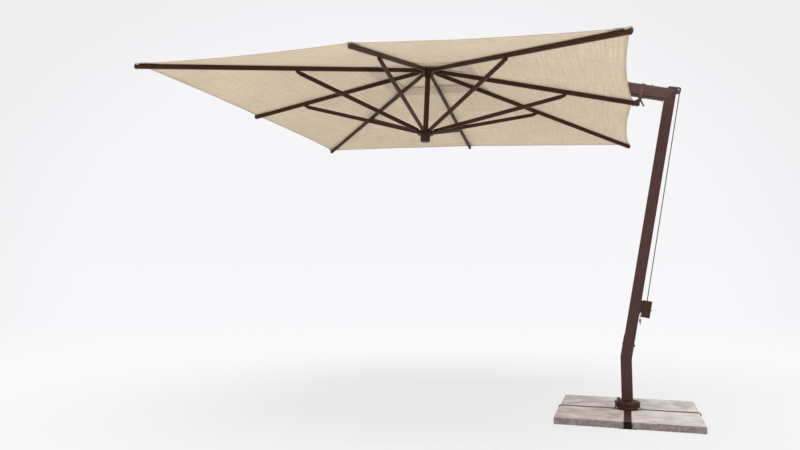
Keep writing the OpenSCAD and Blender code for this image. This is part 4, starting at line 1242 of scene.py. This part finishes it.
def build_floor():
    cols = 64
    angles = [2 * math.pi * j / cols for j in range(cols)]
    verts = [(STAGE_X, 0, 0)]
    verts += [(r * math.cos(a) + STAGE_X, r * math.sin(a), 0.0)
              for r in FLOOR_RINGS for a in angles]
    faces = [(0, 1 + j, 1 + (j + 1) % cols) for j in range(cols)]
    faces += grid_faces(len(FLOOR_RINGS), cols, base=1, wrap=True)
    floor = make("floor", verts, faces, floor_material())
    align_normals(floor, upward=True)


def add_softbox(name, location, target, size, power):
    lamp = bpy.data.lights.new(name, "AREA")
    lamp.shape = "RECTANGLE"
    lamp.size, lamp.size_y = size
    lamp.energy = power
    box = bpy.data.objects.new(name, lamp)
    box.location = location
    direction = Vector(target) - Vector(location)
    box.rotation_euler = direction.to_track_quat("-Z", "Y").to_euler()
    box.visible_camera = False
    bpy.context.scene.collection.objects.link(box)


def build_world():
    """Even ambient light; the camera sees a pale backdrop that darkens towards its edges."""
    world = bpy.data.worlds.new("studio")
    bpy.context.scene.world = world
    sky = Nodes(world, "ShaderNodeOutputWorld")
    to_camera = sky.node("ShaderNodeLightPath").outputs["Is Camera Ray"]
    ambient = sky.node("ShaderNodeBackground", {0: (0.98, 0.99, 1.0), 1: 0.62}).outputs[0]
    coords = sky.node("ShaderNodeTexCoord").outputs
    window = sky.split(coords["Window"])

    def squared_offset(value, centre, half):
        """Squared distance from the centre of the ellipse, in its half axis."""
        offset = sky.math("DIVIDE", sky.math("SUBTRACT", value, centre), half)
        return sky.times(offset, offset)

    squares = sky.add(squared_offset(window[0], centre=0.5, half=0.5),
                      squared_offset(window[1], centre=0.4, half=0.6))
    vignette = sky.remap(sky.math("SQRT", squares), span=(0.75, 1.25), kind="SMOOTHSTEP")
    tone = sky.mix(vignette, (0.924, 0.918, 0.941), (0.860, 0.858, 0.874))
    # A little brighter below the horizon
    height = sky.split(coords["Generated"])[2]
    tone = sky.scale(tone, sky.remap(height, span=(-0.06, 0.08), to=(1.022, 1.0)))
    backdrop = sky.node("ShaderNodeBackground", {0: tone, 1: 1.0}).outputs[0]
    sky.finish(sky.mix_shader(to_camera, ambient, backdrop))


def add_camera():
    lens = bpy.data.cameras.new("camera")
    lens.sensor_width = 36.0
    lens.lens = 29.86965
    lens.clip_end = 200.0
    camera = bpy.data.objects.new("camera", lens)
    camera.location = (0.0230, -5.6782, 1.0624)
    camera.rotation_euler = (math.pi / 2 + 0.0845, 0.0, 0.3284)
    bpy.context.scene.collection.objects.link(camera)
    bpy.context.scene.camera = camera


build_floor()
add_softbox("top_softbox", location=(-0.8, -0.6, 7.2), target=(-0.8, 0.2, 0.0),
            size=(7.5, 6.0), power=620)
add_softbox("front_softbox", location=(-3.4, -7.0, 3.4), target=(-0.6, 0.0, 1.2),
            size=(5.0, 4.0), power=190)
add_softbox("right_softbox", location=(5.5, -3.0, 2.8), target=(0.0, 0.0, 1.2),
            size=(3.0, 4.0), power=70)
build_world()
add_camera()
bpy.context.scene.view_settings.view_transform = "Standard"
bpy.context.scene.view_settings.look = "None"
